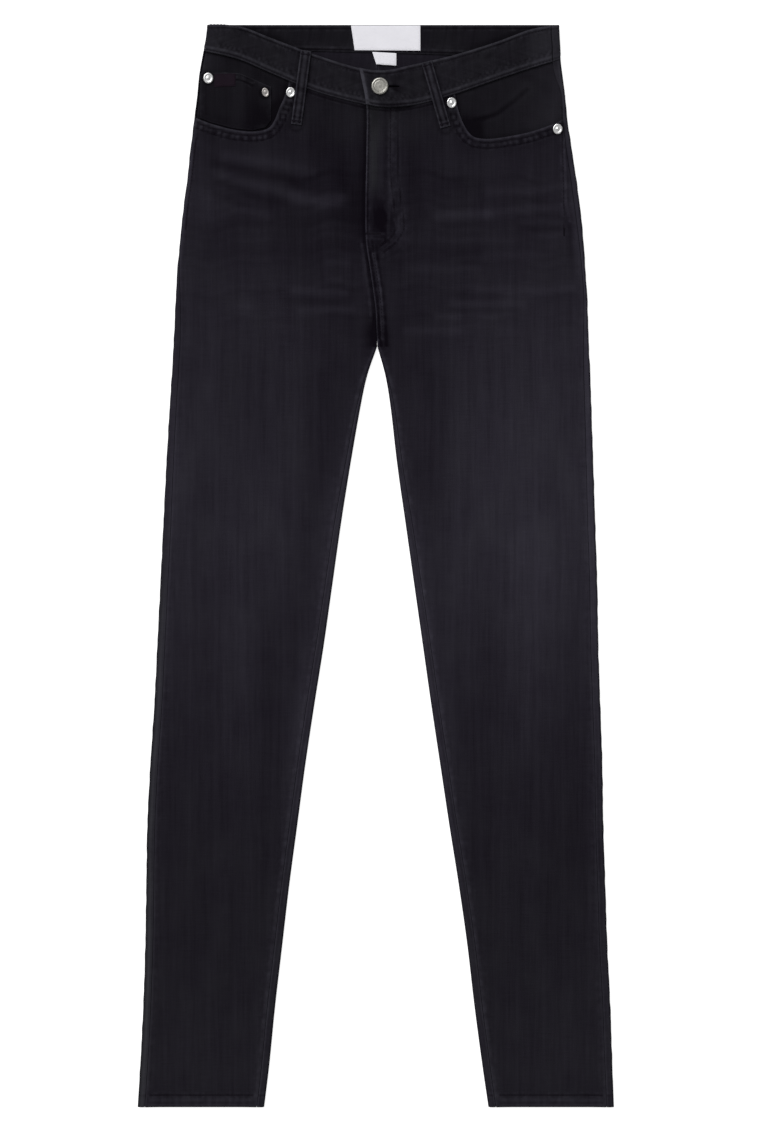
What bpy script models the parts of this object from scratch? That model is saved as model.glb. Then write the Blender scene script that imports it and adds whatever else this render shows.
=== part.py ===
"""Mom jeans laid flat on their back, front up, waist towards +Y.

Sizes are in millimetres until a mesh is made. A place on the garment is given by x, its distance
from the centre line (the wearer's left is +X), and by its height above the hem. Each leg is a
flattened tube: the back panels lie beneath, turn round the folds and meet the fronts at the seams.
"""
import bpy
import bmesh
from collections import namedtuple
from math import cos, pi, radians, sin
from mathutils import Vector

MM = 0.001

# Driving sizes of the garment
TOP_HEIGHT = 1081.0          # hem to the upper edge of the back waistband
CROTCH = 760.0               # hem to the crotch, along the inseam
CENTRE_X = -0.5              # middle of the outline, from the centre line
SEAM_GAP = 0.4               # between two panels sewn edge to edge
BAND_GAP = 0.7               # under the waistband, whose seam curves more
LAYER_GAP = 0.3              # between two layers that lie on each other

# Cloth
CLOTH = 1.2
HEM_CLOTH = 2.2
HEM_DEPTH = 12.0
FACING_CLOTH = 1.0
BAND_CLOTH = 2.4
LOOP_CLOTH = 1.6
BACK_TRIM_CLOTH = 1.2
LABEL_CLOTH = 0.5

# How the flattened tubes lie
LEG_FOLD = 2.2               # outer radius of a leg's folds
HEM_FOLD = 2.8
HIP_FOLD = 2.3
BAND_FOLD = 2.9
SEAT_RISE = 1.5              # the seat lies this high, on the back pockets
LEG_SAG = 1.4                # how far a leg's top sinks between its folds
HEM_SAG = 0.8
SAG_START = 3.0
SAG_END = 24.0

HIP_TOP = SEAT_RISE + 2 * HIP_FOLD
BAND_TOP = SEAT_RISE + 2 * BAND_FOLD
RIGHT_FACING = SEAT_RISE + CLOTH + LAYER_GAP
LEFT_FACING = HIP_TOP - CLOTH - LAYER_GAP - FACING_CLOTH
COIN_BASE = RIGHT_FACING + FACING_CLOTH + LAYER_GAP
COIN_TOP = COIN_BASE + FACING_CLOTH

# Fly and the overlap of the waistband
FLY_LIFT = CLOTH + LAYER_GAP
BAND_LIFT = BAND_CLOTH + LAYER_GAP
FLY_FOOT = 820.0
FLY_START = 846.0
FLY_UNDERLAP = 12.0
FLY_FLAT = 16.0
FLY_FADE = 34.0
BAND_UNDERLAP_END = 17.0
BAND_FLAT = 25.0
BAND_FADE = 43.0

# Hardware
BUTTON_PLACE = (3.5, 1018.6)
EYELET_RADIUS = 2.7
BUTTONHOLE_WIDTH = 2.0
BUTTONHOLE_END = 22.5
CUT_REACH = 20.0

# Trim
LOOP_WIDTH = 10.6
LOOP_BULGE = 0.8
BACK_LOOP_WIDTH = 12.0
BACK_LOOP_LENGTH = 72.0
BACK_LOOPS = (
    ("belt_loop_back_right", -104.0), ("belt_loop_back_centre", 1.0), ("belt_loop_back_left", 108.0))
BACK_POCKET_CENTRE = 98.0
BACK_POCKET_TOP = 966.0
BACK_POCKET_TURN = radians(3.5)
POCKET_MIDDLE = (135.0, 1010.0)
FACING_MARGIN = 10.0         # the facing's reach under the front, beyond the opening
FACING_INSET = 2.0           # and its distance inside the outline
FACING_HEIGHTS = (1045.0, 1034.0, 1022.0, 1011.0, 998.0, 985.0)
POCKET_CUT_SIDE = 200.0      # the cutter reaches past the outline and the waistband's seam
POCKET_CUT_TOPS = (1040.0, 1070.0)
YOKE_SIDE = 1011.0
YOKE_CENTRE = 978.0

Leg = namedtuple("Leg", "height outer inner seam inseam")
RIGHT_LEG = (
    Leg(0, 238.5, 112.0, 9.0, 9.0), Leg(41, 236.0, 107.0, 9.0, 9.0), Leg(101, 233.0, 101.0, 9.0, 9.0),
    Leg(161, 231.0, 94.0, 9.0, 9.0), Leg(221, 230.0, 87.0, 9.0, 9.0), Leg(281, 229.0, 79.0, 9.0, 9.0),
    Leg(341, 226.0, 71.0, 9.0, 9.0), Leg(401, 222.0, 62.0, 9.0, 9.0), Leg(461, 219.0, 52.5, 9.0, 9.0),
    Leg(521, 216.0, 44.0, 9.0, 8.5), Leg(581, 213.0, 35.5, 9.0, 8.0), Leg(641, 210.0, 26.0, 8.5, 6.5),
    Leg(701, 206.5, 15.5, 8.0, 5.0), Leg(731, 204.5, 9.0, 8.0, 3.0), Leg(760, 202.8, -1.0, 8.0, 0.5))
LEFT_LEG = (
    Leg(0, 237.5, 112.0, 9.0, 9.0), Leg(41, 236.0, 106.0, 9.0, 9.0), Leg(101, 234.0, 98.0, 9.0, 9.0),
    Leg(161, 231.0, 91.0, 9.0, 9.0), Leg(221, 229.0, 82.5, 9.0, 9.0), Leg(281, 227.0, 73.0, 9.0, 9.0),
    Leg(341, 226.0, 64.0, 9.0, 9.0), Leg(401, 224.0, 55.0, 9.0, 9.0), Leg(461, 222.0, 46.5, 9.0, 9.0),
    Leg(521, 221.0, 38.0, 9.0, 8.5), Leg(581, 219.0, 29.5, 9.0, 8.0), Leg(641, 217.0, 21.0, 8.5, 6.5),
    Leg(701, 215.0, 14.0, 8.0, 5.0), Leg(731, 214.0, 9.0, 8.0, 3.0), Leg(760, 212.6, 1.0, 7.0, 0.5))

Hip = namedtuple("Hip", "height outer seam")
RIGHT_HIP = (
    Hip(760, 202.8, 8.0), Hip(776, 202.0, 7.5), Hip(806, 200.5, 6.0), Hip(836, 198.8, 3.5),
    Hip(866, 196.0, 1.2), Hip(896, 193.0, 1.0), Hip(926, 189.0, 1.0), Hip(956, 185.8, 1.0),
    Hip(986, 182.0, 1.0), Hip(1011, 179.0, 1.0), Hip(1031, 177.0, 1.0), Hip(1046, 174.4, 1.0),
    Hip(1058, 172.0, 1.0), Hip(1070, 170.0, 1.0), Hip(1086, 168.5, 1.0))
LEFT_HIP = (
    Hip(760, 212.6, 7.0), Hip(776, 212.0, 6.0), Hip(806, 211.0, 5.0), Hip(836, 209.0, 5.0),
    Hip(866, 207.0, 6.0), Hip(896, 204.0, 7.0), Hip(926, 200.0, 7.0), Hip(956, 195.5, 7.0),
    Hip(986, 191.0, 6.0), Hip(1011, 188.6, 5.0), Hip(1031, 186.0, 9.0), Hip(1046, 184.2, 10.0),
    Hip(1058, 184.0, 10.0), Hip(1070, 183.2, 10.0), Hip(1086, 182.6, 10.0))

Centre = namedtuple("Centre", "height x")
CENTRE_SEAM = (
    Centre(760, 1.0), Centre(776, 0.0), Centre(796, -1.0), Centre(820, -4.0), Centre(840, -7.0),
    Centre(866, -10.5), Centre(900, -11.0), Centre(957, -10.0), Centre(1001, -10.2), Centre(1036, -17.0))

Band = namedtuple("Band", "x upper lower")
FRONT_BAND = (
    Band(-176, 1081.0, 1055.0), Band(-138, 1079.3, 1046.0), Band(-104, 1067.0, 1031.5),
    Band(-60, 1050.5, 1013.5), Band(-11, 1036.0, 1000.5), Band(12, 1035.0, 997.5),
    Band(40, 1041.5, 1000.5), Band(78, 1050.5, 1011.0), Band(120, 1063.5, 1025.5),
    Band(156, 1076.5, 1037.5), Band(188, 1081.0, 1047.0))
BACK_BAND = (
    Band(-176, 1081.0, 1055.0), Band(-56, 1081.0, 1054.0),
    Band(73, 1081.0, 1050.5), Band(188, 1081.0, 1047.0))

Spot = namedtuple("Spot", "x height")
RIGHT_OPENING = (
    Spot(-181, 988.0), Spot(-165.5, 982.0), Spot(-143, 976.0), Spot(-123.5, 974.0), Spot(-108.5, 977.0),
    Spot(-101.5, 985.5), Spot(-97, 997.0), Spot(-92, 1008.0), Spot(-87.5, 1021.0))
LEFT_OPENING = (
    Spot(190, 988.0), Spot(175, 981.0), Spot(151, 973.0), Spot(121, 967.5), Spot(105, 967.0),
    Spot(95.5, 970.0), Spot(88.5, 979.0), Spot(83.4, 991.0), Spot(80.5, 1001.0), Spot(78.5, 1012.0))
COIN_POCKET = (
    Spot(-174.5, 1033.0), Spot(-151, 1033.3), Spot(-136, 1032.5), Spot(-123, 1027.0), Spot(-108, 1020.0),
    Spot(-105, 1008.0), Spot(-105, 985.5), Spot(-110.5, 978.5), Spot(-123.5, 975.4), Spot(-143, 977.6),
    Spot(-165.5, 983.6), Spot(-177, 988.0))

Loop = namedtuple("Loop", "name x_top top x_bottom bottom")
FRONT_LOOPS = (
    Loop("belt_loop_front_right", -70.0, 1054.5, -79.8, 981.0),
    Loop("belt_loop_front_left", 50.2, 1043.5, 69.0, 978.5))

Rivet = namedtuple("Rivet", "name x height radius base")
RIVETS = (
    Rivet("rivet_coin_outer", -167.7, 1027.5, 4.9, COIN_TOP),
    Rivet("rivet_coin_inner", -110.7, 1013.2, 4.4, COIN_TOP),
    Rivet("rivet_pocket_right", -85.5, 1013.2, 4.6, HIP_TOP),
    Rivet("rivet_pocket_left_inner", 75.2, 1002.8, 4.8, HIP_TOP),
    Rivet("rivet_pocket_left_outer", 181.0, 976.6, 4.7, HIP_TOP))

Profile = namedtuple("Profile", "radius z")
RIVET_PROFILE = (
    Profile(0.0, 1.3), Profile(0.2, 1.2), Profile(0.38, 0.75), Profile(0.62, 0.7), Profile(0.86, 0.95),
    Profile(1.0, 0.3), Profile(0.94, 0.0), Profile(0.0, 0.0))
BUTTON_PROFILE = (
    Profile(0.0, 2.3), Profile(5.4, 2.4), Profile(6.3, 3.0), Profile(7.5, 2.8), Profile(8.5, 1.7),
    Profile(8.2, 0.7), Profile(7.0, 0.4), Profile(2.2, 0.4), Profile(2.2, -2.6), Profile(0.0, -2.6))

MAIN_LABEL = (Spot(-25.2, 1080.3), Spot(-21.6, 1055.6), Spot(44, 1055.2), Spot(44, 1080.3))
SIZE_LABEL = (Spot(-4, 1053.9), Spot(-2, 1045.4), Spot(8, 1040.2), Spot(20, 1040.2), Spot(20, 1052.0))
COIN_TAB = (Spot(-161.6, 1031.6), Spot(-161.6, 1018.6), Spot(-140.5, 1019.6), Spot(-140.5, 1032.2))
BACK_POCKET = (Spot(-71, 0), Spot(-64, -132), Spot(0, -158), Spot(64, -132), Spot(71, 0))

# Heights of the rows of points: the same on both sides of a seam
LEG_ROWS = (0, 7, 12, 18, 41, 101, 161, 221, 281, 341, 401, 461, 521, 581, 641, 701, 731, 748, 760)
HIP_ROWS = (763, 772, 786, 806, 821, 836, 866, 896, 926, 956, 986, 1011)
SIDE_ROWS = (1022, 1034)

# Places of the waistband's columns, from the centre line
BAND_COLUMNS = (16.0, 24.0, 31.0, 37.0, 43.0, 62.0, 84.0, 108.0, 132.0, 152.0)
BACK_BAND_COLUMNS = (-150.0, -110.0, -70.0, -30.0, 10.0, 50.0, 90.0, 130.0, 160.0)

# Distances along the cloth from a fold at which the wall has points, above and beneath it
FOLD_STEPS = (5.5, 3.5, 1.7, 0.0, -1.7, -3.5, -9.0)
STEP_LEAST = 0.5
FOLD_MARGIN = 8.0            # a place just inside a fold, on the flat cloth
FRONT_INNER_STEPS = (17.0, 8.0, 2.5, 0.0)
BACK_INNER_STEPS = (11.0, 8.0, 5.5, 3.5, 2.0, 1.0, 0.5, 0.0)

DENIM = (0.013, 0.012, 0.016)
DARK_DENIM = (0.009, 0.008, 0.011)
WHITE = (0.75, 0.74, 0.78)
NICKEL = (0.42, 0.41, 0.38)
STEEL = (0.62, 0.62, 0.62)


scene = bpy.context.scene
for old in list(bpy.data.objects):
    bpy.data.objects.remove(old, do_unlink=True)
parts = bpy.data.collections.new("mom_jeans")
cutters = bpy.data.collections.new("cutters")
scene.collection.children.link(parts)
scene.collection.children.link(cutters)


def smooth(rows, at, key, value):
    """Value of a table at a place, on a Catmull-Rom curve through its rows."""
    last = len(rows) - 1
    k = 0
    while k < last - 1 and at > getattr(rows[k + 1], key):
        k += 1
    a, b = rows[k], rows[k + 1]
    before, after = rows[max(k - 1, 0)], rows[min(k + 2, last)]
    width = getattr(b, key) - getattr(a, key)
    t = (at - getattr(a, key)) / width
    t = min(max(t, 0.0), 1.0)
    p, q = getattr(a, value), getattr(b, value)
    slope_a = (q - getattr(before, value)) / (getattr(b, key) - getattr(before, key)) * width
    slope_b = (getattr(after, value) - p) / (getattr(after, key) - getattr(a, key)) * width
    return ((2 * t ** 3 - 3 * t ** 2 + 1) * p + (t ** 3 - 2 * t ** 2 + t) * slope_a
            + (3 * t ** 2 - 2 * t ** 3) * q + (t ** 3 - t ** 2) * slope_b)


def ease(value, start, end):
    t = min(max((value - start) / (end - start), 0.0), 1.0)
    return t * t * (3 - 2 * t)


def outer_edge(side, height):
    """Distance of the outline from the centre line."""
    if height <= CROTCH:
        return smooth(RIGHT_LEG if side < 0 else LEFT_LEG, height, "height", "outer")
    return smooth(RIGHT_HIP if side < 0 else LEFT_HIP, height, "height", "outer")


def side_seam(side, height):
    """Cloth between the outer fold and the side seam, on top."""
    if height <= CROTCH:
        return smooth(RIGHT_LEG if side < 0 else LEFT_LEG, height, "height", "seam")
    return smooth(RIGHT_HIP if side < 0 else LEFT_HIP, height, "height", "seam")


def inseam(side, height):
    return smooth(RIGHT_LEG if side < 0 else LEFT_LEG, min(height, CROTCH), "height", "inseam")


def inner_edge(side, height, front):
    """Distance from the centre line of a leg's inner outline, or of the centre seam above the crotch."""
    if height <= CROTCH:
        return smooth(RIGHT_LEG if side < 0 else LEFT_LEG, height, "height", "inner")
    if front:
        return side * smooth(CENTRE_SEAM, height, "height", "x")
    return side * CENTRE_SEAM[0].x


def seat_height(height):
    return SEAT_RISE * ease(height, 776, 812)


def fold_radius(height):
    leg = HEM_FOLD + (LEG_FOLD - HEM_FOLD) * ease(height, HEM_DEPTH, 70)
    return leg + (HIP_FOLD - leg) * ease(height, 700, 812)


def sag(height):
    leg = HEM_SAG + (LEG_SAG - HEM_SAG) * ease(height, HEM_DEPTH, 70)
    return leg * (1 - ease(height, 640, CROTCH))


def wall(height):
    """Thickness of a panel, doubled by the turned hem."""
    return CLOTH + (HEM_CLOTH - CLOTH) * (1 - ease(height, HEM_DEPTH, HEM_DEPTH + 6))


def fly_lift(side, x, height):
    """How far the left front lies over the right one along the fly."""
    if side < 0:
        return 0.0
    past = x - smooth(CENTRE_SEAM, max(height, CROTCH), "height", "x")
    return FLY_LIFT * ease(height, FLY_FOOT, FLY_START) * (1 - ease(past, FLY_FLAT, FLY_FADE))


Section = namedtuple("Section", "outer width straight radius under inner_turn")


def section(side, height, front, radius=None, under=None):
    """Flattened tube at a height: its size, and how far it turns at the inner edge."""
    outer = outer_edge(side, height)
    radius = radius or fold_radius(height)
    under = seat_height(height) if under is None else under
    width = outer - inner_edge(side, height, front)
    turn = 0.5 * pi * (1 - ease(height, CROTCH - 0.01, CROTCH + 2 * radius))
    return Section(outer, width, width - radius - radius * sin(turn), radius, under, turn)


def reach(cut):
    """Cloth from the outer fold to the end of the section, on one face."""
    return cut.radius * (0.5 * pi + cut.inner_turn) + cut.straight


def around(side, height, along, cut):
    """Outer face and its normal, at a distance along the cloth from the outer fold, beneath if negative."""
    face = 1 if along > 0 else -1
    along = abs(along)
    quarter = 0.5 * pi * cut.radius
    if along < quarter:
        turn = along / cut.radius
        inward = cut.radius * (1 - cos(turn))
        rise = sin(turn)
        lean = -cos(turn)
    elif along <= quarter + cut.straight or not cut.inner_turn:
        inward = cut.radius + along - quarter
        rise = 1.0
        lean = 0.0
    else:
        turn = (along - quarter - cut.straight) / cut.radius
        inward = cut.radius + cut.straight + cut.radius * sin(turn)
        rise = cos(turn)
        lean = sin(turn)
    z = cut.under + cut.radius * (1 + face * rise)
    if face > 0:
        from_edge = min(inward, cut.width - inward) - cut.radius
        z -= sag(height) * ease(from_edge, SAG_START, SAG_END)
    x = side * (cut.outer - inward)
    return Vector((x, height, z)), Vector((-side * lean, 0.0, face * rise))


def world(point):
    return ((point.x - CENTRE_X) * MM, (point.y - 0.5 * TOP_HEIGHT) * MM, point.z * MM)


def material(name, color, roughness, metallic=0.0):
    made = bpy.data.materials.get(name)
    if made is None:
        made = bpy.data.materials.new(name)
        made.use_nodes = True
        shader = made.node_tree.nodes["Principled BSDF"]
        shader.inputs["Base Color"].default_value = (*color, 1.0)
        shader.inputs["Roughness"].default_value = roughness
        shader.inputs["Metallic"].default_value = metallic
    return made


denim = material("denim", DENIM, 0.85)
dark_denim = material("dark_denim", DARK_DENIM, 0.85)
white = material("white_cloth", WHITE, 0.8)
nickel = material("nickel", NICKEL, 0.35, 1.0)
steel = material("steel", STEEL, 0.3, 1.0)


def add_object(name, mesh, look):
    item = bpy.data.objects.new(name, mesh)
    item.data.materials.append(look)
    parts.objects.link(item)
    return item


def add_bmesh(name, bm, look):
    bmesh.ops.recalc_face_normals(bm, faces=bm.faces)
    mesh = bpy.data.meshes.new(name)
    bm.to_mesh(mesh)
    bm.free()
    mesh.shade_smooth()
    mesh.set_sharp_from_angle(angle=0.6)
    return add_object(name, mesh, look)


def cloth(name, rows, look):
    """Closed wall from rows of (point, normal, thickness) on its outer face."""
    bm = bmesh.new()
    faces = []
    for depth in (0, 1):
        faces.append([[bm.verts.new(world(p - n * (t * depth))) for p, n, t in row] for row in rows])
    count_v, count_u = len(rows), len(rows[0])
    for grid in faces:
        for j in range(count_v - 1):
            for i in range(count_u - 1):
                bm.faces.new((grid[j][i], grid[j][i + 1], grid[j + 1][i + 1], grid[j + 1][i]))
    rim = [(j, 0) for j in range(count_v)] + [(count_v - 1, i) for i in range(1, count_u)]
    rim += [(j, count_u - 1) for j in range(count_v - 2, -1, -1)]
    rim += [(0, i) for i in range(count_u - 2, 0, -1)]
    outside, inside = faces
    for k, (j, i) in enumerate(rim):
        jn, i_n = rim[(k + 1) % len(rim)]
        bm.faces.new((outside[j][i], outside[jn][i_n], inside[jn][i_n], inside[j][i]))
    return add_bmesh(name, bm, look)


def outline_object(name, outline, bottom, thickness):
    """Prism over an outline of (x, height), as a mesh."""
    curve = bpy.data.curves.new(name, "CURVE")
    curve.dimensions = "2D"
    curve.fill_mode = "BOTH"
    curve.extrude = 0.5 * thickness * MM
    spline = curve.splines.new("POLY")
    spline.points.add(len(outline) - 1)
    for point, (x, height) in zip(spline.points, outline):
        point.co = (*world(Vector((x, height, 0.0))), 1.0)
    spline.use_cyclic_u = True
    drawn = bpy.data.objects.new(name + "_outline", curve)
    scene.collection.objects.link(drawn)
    drawn.location.z = (bottom + 0.5 * thickness) * MM
    depsgraph = bpy.context.evaluated_depsgraph_get()
    mesh = bpy.data.meshes.new_from_object(drawn.evaluated_get(depsgraph))
    bm = bmesh.new()
    bm.from_mesh(mesh)
    bmesh.ops.remove_doubles(bm, verts=bm.verts, dist=0.01 * MM)
    bmesh.ops.recalc_face_normals(bm, faces=bm.faces)
    bm.to_mesh(mesh)
    bm.free()
    mesh.name = name
    mesh.materials.clear()
    made = bpy.data.objects.new(name, mesh)
    made.location = drawn.location
    bpy.data.objects.remove(drawn)
    bpy.data.curves.remove(curve)
    return made


def flat_patch(name, outline, bottom, thickness, look):
    """Flat piece of cloth over an outline."""
    made = outline_object(name, outline, bottom, thickness)
    made.data.materials.append(look)
    parts.objects.link(made)
    return made


def cut_away(target, name, outline):
    """Cut the target right through over an outline."""
    cutter = outline_object(name, outline, -CUT_REACH, 4 * CUT_REACH)
    cutter.hide_render = True
    cutter.display_type = "WIRE"
    cutters.objects.link(cutter)
    cut = target.modifiers.new(name, "BOOLEAN")
    cut.operation = "DIFFERENCE"
    cut.object = cutter


def steps_from(edge, ahead):
    """Places along the cloth from a seam's edge across the fold, never closer than the least step."""
    if ahead:
        return [edge, edge + 1.2, edge + 2.6, max(edge + 5.0, 14.0)]
    return [edge] + [min(step, edge - STEP_LEAST * (k + 1)) for k, step in enumerate(FOLD_STEPS)]


def spread(start, end, count):
    return [start + (end - start) * k / count for k in range(1, count)]


def front_columns(side, height, cut):
    """Places along the cloth of the front's columns, from the side seam to the inner seam."""
    seam = side_seam(side, height) + 0.5 * SEAM_GAP
    total = reach(cut)
    inner = 0.5 * SEAM_GAP
    if height <= CROTCH:
        inner += inseam(side, height)
    elif side < 0:
        inner -= (FLY_UNDERLAP + SEAM_GAP) * ease(height, FLY_START, FLY_START + 34)
    outer_steps = steps_from(seam, True)
    inner_steps = [total - inner - back for back in FRONT_INNER_STEPS]
    return outer_steps + spread(outer_steps[-1], inner_steps[0], 7) + inner_steps


def back_columns(side, height, cut):
    """Places along the cloth of the back's columns, from the side seam round to the inner seam."""
    seam = side_seam(side, height) - 0.5 * SEAM_GAP
    total = -reach(cut)
    if height > CROTCH:
        return (steps_from(seam, False) + spread(-9.0, total + 11.0, 6)
                + [total + 0.5 * SEAM_GAP + back for back in BACK_INNER_STEPS])
    edge = inseam(side, height) - 0.5 * SEAM_GAP
    inner_steps = [total - step for step in reversed(steps_from(edge, False))]
    return steps_from(seam, False) + spread(-9.0, inner_steps[0], 6) + inner_steps


def front_top(side):
    """Height of the front's seam with the waistband, just inside the side fold."""
    height = YOKE_SIDE
    for _ in range(6):
        x = side * (outer_edge(side, height) - FOLD_MARGIN)
        height = smooth(FRONT_BAND, x, "x", "lower") - 0.5 * BAND_GAP
    return height


def front_panel(side, name):
    edge_top = front_top(side)
    rows = []
    for level in LEG_ROWS + HIP_ROWS + SIDE_ROWS + (edge_top,):
        row = []
        count = len(front_columns(side, level, section(side, level, True)))
        for k in range(count):
            height = level
            for _ in range(5):
                cut = section(side, height, True)
                along = front_columns(side, height, cut)[k]
                point, normal = around(side, height, along, cut)
                if level > CROTCH:
                    top_here = smooth(FRONT_BAND, point.x, "x", "lower") - 0.5 * BAND_GAP
                    height = CROTCH + (level - CROTCH) * (top_here - CROTCH) / (edge_top - CROTCH)
            point.z += fly_lift(side, point.x, height)
            row.append((point, normal, wall(height)))
        rows.append(row)
    return cloth(name, rows, denim)


def yoke_seam(x):
    """Height of the yoke's lower seam, a shallow V over the seat."""
    return YOKE_SIDE + (YOKE_CENTRE - YOKE_SIDE) * (1 - ease(abs(x), 0, 185) ** 0.8)


def back_point(side, height, k):
    cut = section(side, height, False)
    along = back_columns(side, height, cut)[k]
    if along < -reach(cut):
        along = 2 * reach(cut) + along
    return around(side, height, along, cut)


def back_panel(side, name):
    rows = []
    for level in LEG_ROWS + HIP_ROWS:
        row = []
        count = len(back_columns(side, level, section(side, level, False)))
        for k in range(count):
            height = level
            for _ in range(4):
                point, normal = back_point(side, height, k)
                if level > CROTCH:
                    top_here = yoke_seam(point.x) - 0.5 * SEAM_GAP
                    height = CROTCH + (level - CROTCH) * (top_here - CROTCH) / (YOKE_SIDE - CROTCH)
            row.append((point, normal, wall(height)))
        rows.append(row)
    return cloth(name, rows, denim)


def yoke(side, name):
    rows = []
    for part in (0.0, 1 / 3, 2 / 3, 1.0):
        row = []
        count = len(back_columns(side, YOKE_SIDE, section(side, YOKE_SIDE, False)))
        for k in range(count):
            height = YOKE_SIDE
            for _ in range(5):
                point, normal = back_point(side, height, k)
                low = yoke_seam(point.x) + 0.5 * SEAM_GAP
                edge = FRONT_BAND if normal.z > 0.01 else BACK_BAND
                seam = smooth(edge, point.x, "x", "lower") - 0.5 * BAND_GAP
                height = low + (seam - low) * part
            row.append((point, normal, CLOTH))
        rows.append(row)
    return cloth(name, rows, denim)


def band_lift(side, x):
    """How far the left end of the waistband lies over the right one."""
    return BAND_LIFT * (1 - ease(x, BAND_FLAT, BAND_FADE)) if side > 0 else 0.0


def band_point(side, along, part):
    """Outer face of the waistband near a side fold; part runs from its lower to its upper edge."""
    table = FRONT_BAND if along > 0 else BACK_BAND
    height = YOKE_SIDE
    for _ in range(6):
        cut = section(side, height, True, BAND_FOLD, SEAT_RISE)
        point, normal = around(side, height, along, cut)
        low = smooth(table, point.x, "x", "lower") + 0.5 * BAND_GAP
        height = low + (smooth(table, point.x, "x", "upper") - low) * part
    return point, normal, BAND_CLOTH


def band_flat(side, x, part, front):
    """Outer face of the waistband between the folds, on top or beneath."""
    table = FRONT_BAND if front else BACK_BAND
    low = smooth(table, x, "x", "lower") + 0.5 * BAND_GAP
    height = low + (smooth(table, x, "x", "upper") - low) * part
    z = BAND_TOP + band_lift(side, x) if front else SEAT_RISE
    return Vector((x, height, z)), Vector((0.0, 0.0, 1.0 if front else -1.0)), BAND_CLOTH


def waistband_front(side, name):
    rows = []
    for part in (0.0, 0.5, 1.0):
        seam = side_seam(side, 1065) + 0.5 * SEAM_GAP
        row = [band_point(side, along, part) for along in steps_from(seam, True)]
        row += [band_flat(side, side * x, part, True) for x in reversed(BAND_COLUMNS)]
        if side > 0:
            end = smooth(CENTRE_SEAM, 1001 + 35 * part, "height", "x")
            row += [band_flat(side, x, part, True) for x in (5.0, -3.0, end)]
        else:
            row += [band_flat(side, x, part, True) for x in (-6.0, 5.0, BAND_UNDERLAP_END)]
        rows.append(row)
    return cloth(name, rows, denim)


def waistband_back(name):
    rows = []
    for part in (0.0, 0.5, 1.0):
        seams = {side: side_seam(side, 1065) - 0.5 * SEAM_GAP for side in (-1, 1)}
        row = [band_point(-1, along, part) for along in steps_from(seams[-1], False)]
        row += [band_flat(0, x, part, False) for x in BACK_BAND_COLUMNS]
        row += [band_point(1, along, part) for along in reversed(steps_from(seams[1], False))]
        rows.append(row)
    return cloth(name, rows, denim)


def facing(side, name, opening, base):
    """Pocket facing: from the waistband and the side seam to a margin under the front."""
    middle = Vector((side * POCKET_MIDDLE[0], POCKET_MIDDLE[1]))
    outline = []
    for spot in opening[1:-2]:
        place = Vector((spot.x, spot.height))
        outline.append(tuple(place + (place - middle).normalized() * FACING_MARGIN))
    inner_x = outline[-1][0]
    corner = side * (outer_edge(side, smooth(FRONT_BAND, side * 180, "x", "lower")) - FACING_INSET - 0.3)
    for k in range(8):
        x = inner_x + (corner - inner_x) * k / 7
        outline.append((x, smooth(FRONT_BAND, x, "x", "lower") - BAND_GAP))
    for height in FACING_HEIGHTS + (outline[0][1],):
        edge = outer_edge(side, height) - FACING_INSET
        if height < outline[-1][1] - 2.0:
            outline.append((side * edge, height))
    return flat_patch(name, outline, base, FACING_CLOTH, dark_denim)


def front_loop(loop):
    """Belt loop over the waistband, with its lower end on the front."""
    rows = []
    run = Vector((loop.x_bottom - loop.x_top, loop.bottom - loop.top, 0.0))
    across = Vector((-run.y, run.x, 0.0)).normalized()
    for part in (0.0, 0.06, 0.2, 0.35, 0.48, 0.58, 0.68, 0.82, 1.0):
        middle = Vector((loop.x_top, loop.top, 0.0)) + run * part
        seam = smooth(FRONT_BAND, middle.x, "x", "lower")
        on_band = ease(middle.y, seam - 7.0, seam + 1.5)
        base = HIP_TOP + (BAND_TOP - HIP_TOP) * on_band + LAYER_GAP
        base += LOOP_BULGE * sin(pi * min(max(part, 0.0), 0.6) / 0.6)
        row = []
        for step in (-0.5, -0.3, 0.3, 0.5):
            crown = 0.0 if abs(step) < 0.4 else -0.35
            point = middle + across * (step * LOOP_WIDTH)
            point.z = base + LOOP_CLOTH + crown
            row.append((point, Vector((0.0, 0.0, 1.0)), LOOP_CLOTH + crown))
        rows.append(row)
    return cloth(loop.name, rows, denim)


def back_loop(name, x):
    top = smooth(BACK_BAND, x, "x", "upper") - 0.5
    bottom = top - BACK_LOOP_LENGTH
    half = 0.5 * BACK_LOOP_WIDTH
    outline = [(x - half, bottom), (x + half, bottom), (x + half, top), (x - half, top)]
    return flat_patch(name, outline, 0.0, BACK_TRIM_CLOTH, denim)


def back_pocket(side, name):
    """Plain patch pocket under the seat, turned a little as its top follows the yoke."""
    turn = -side * BACK_POCKET_TURN
    outline = []
    for spot in BACK_POCKET:
        x = spot.x * cos(turn) - spot.height * sin(turn)
        height = spot.x * sin(turn) + spot.height * cos(turn)
        outline.append((side * BACK_POCKET_CENTRE + x, BACK_POCKET_TOP + height))
    return flat_patch(name, outline, 0.0, BACK_TRIM_CLOTH, denim)


def turned(name, profile, radius, place, base, sides, look):
    """Turned piece of metal: a profile, its radii times the radius, screwed about its own axis."""
    bm = bmesh.new()
    points = [bm.verts.new((p.radius * radius * MM, 0.0, p.z * MM)) for p in profile]
    for a, b in zip(points, points[1:]):
        bm.edges.new((a, b))
    mesh = bpy.data.meshes.new(name)
    bm.to_mesh(mesh)
    bm.free()
    item = add_object(name, mesh, look)
    item.location = world(Vector((place[0], place[1], base)))
    screw = item.modifiers.new("turn", "SCREW")
    screw.steps = sides
    screw.render_steps = sides
    screw.use_merge_vertices = True
    screw.merge_threshold = 0.00001
    screw.use_normal_calculate = True
    return item


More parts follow.
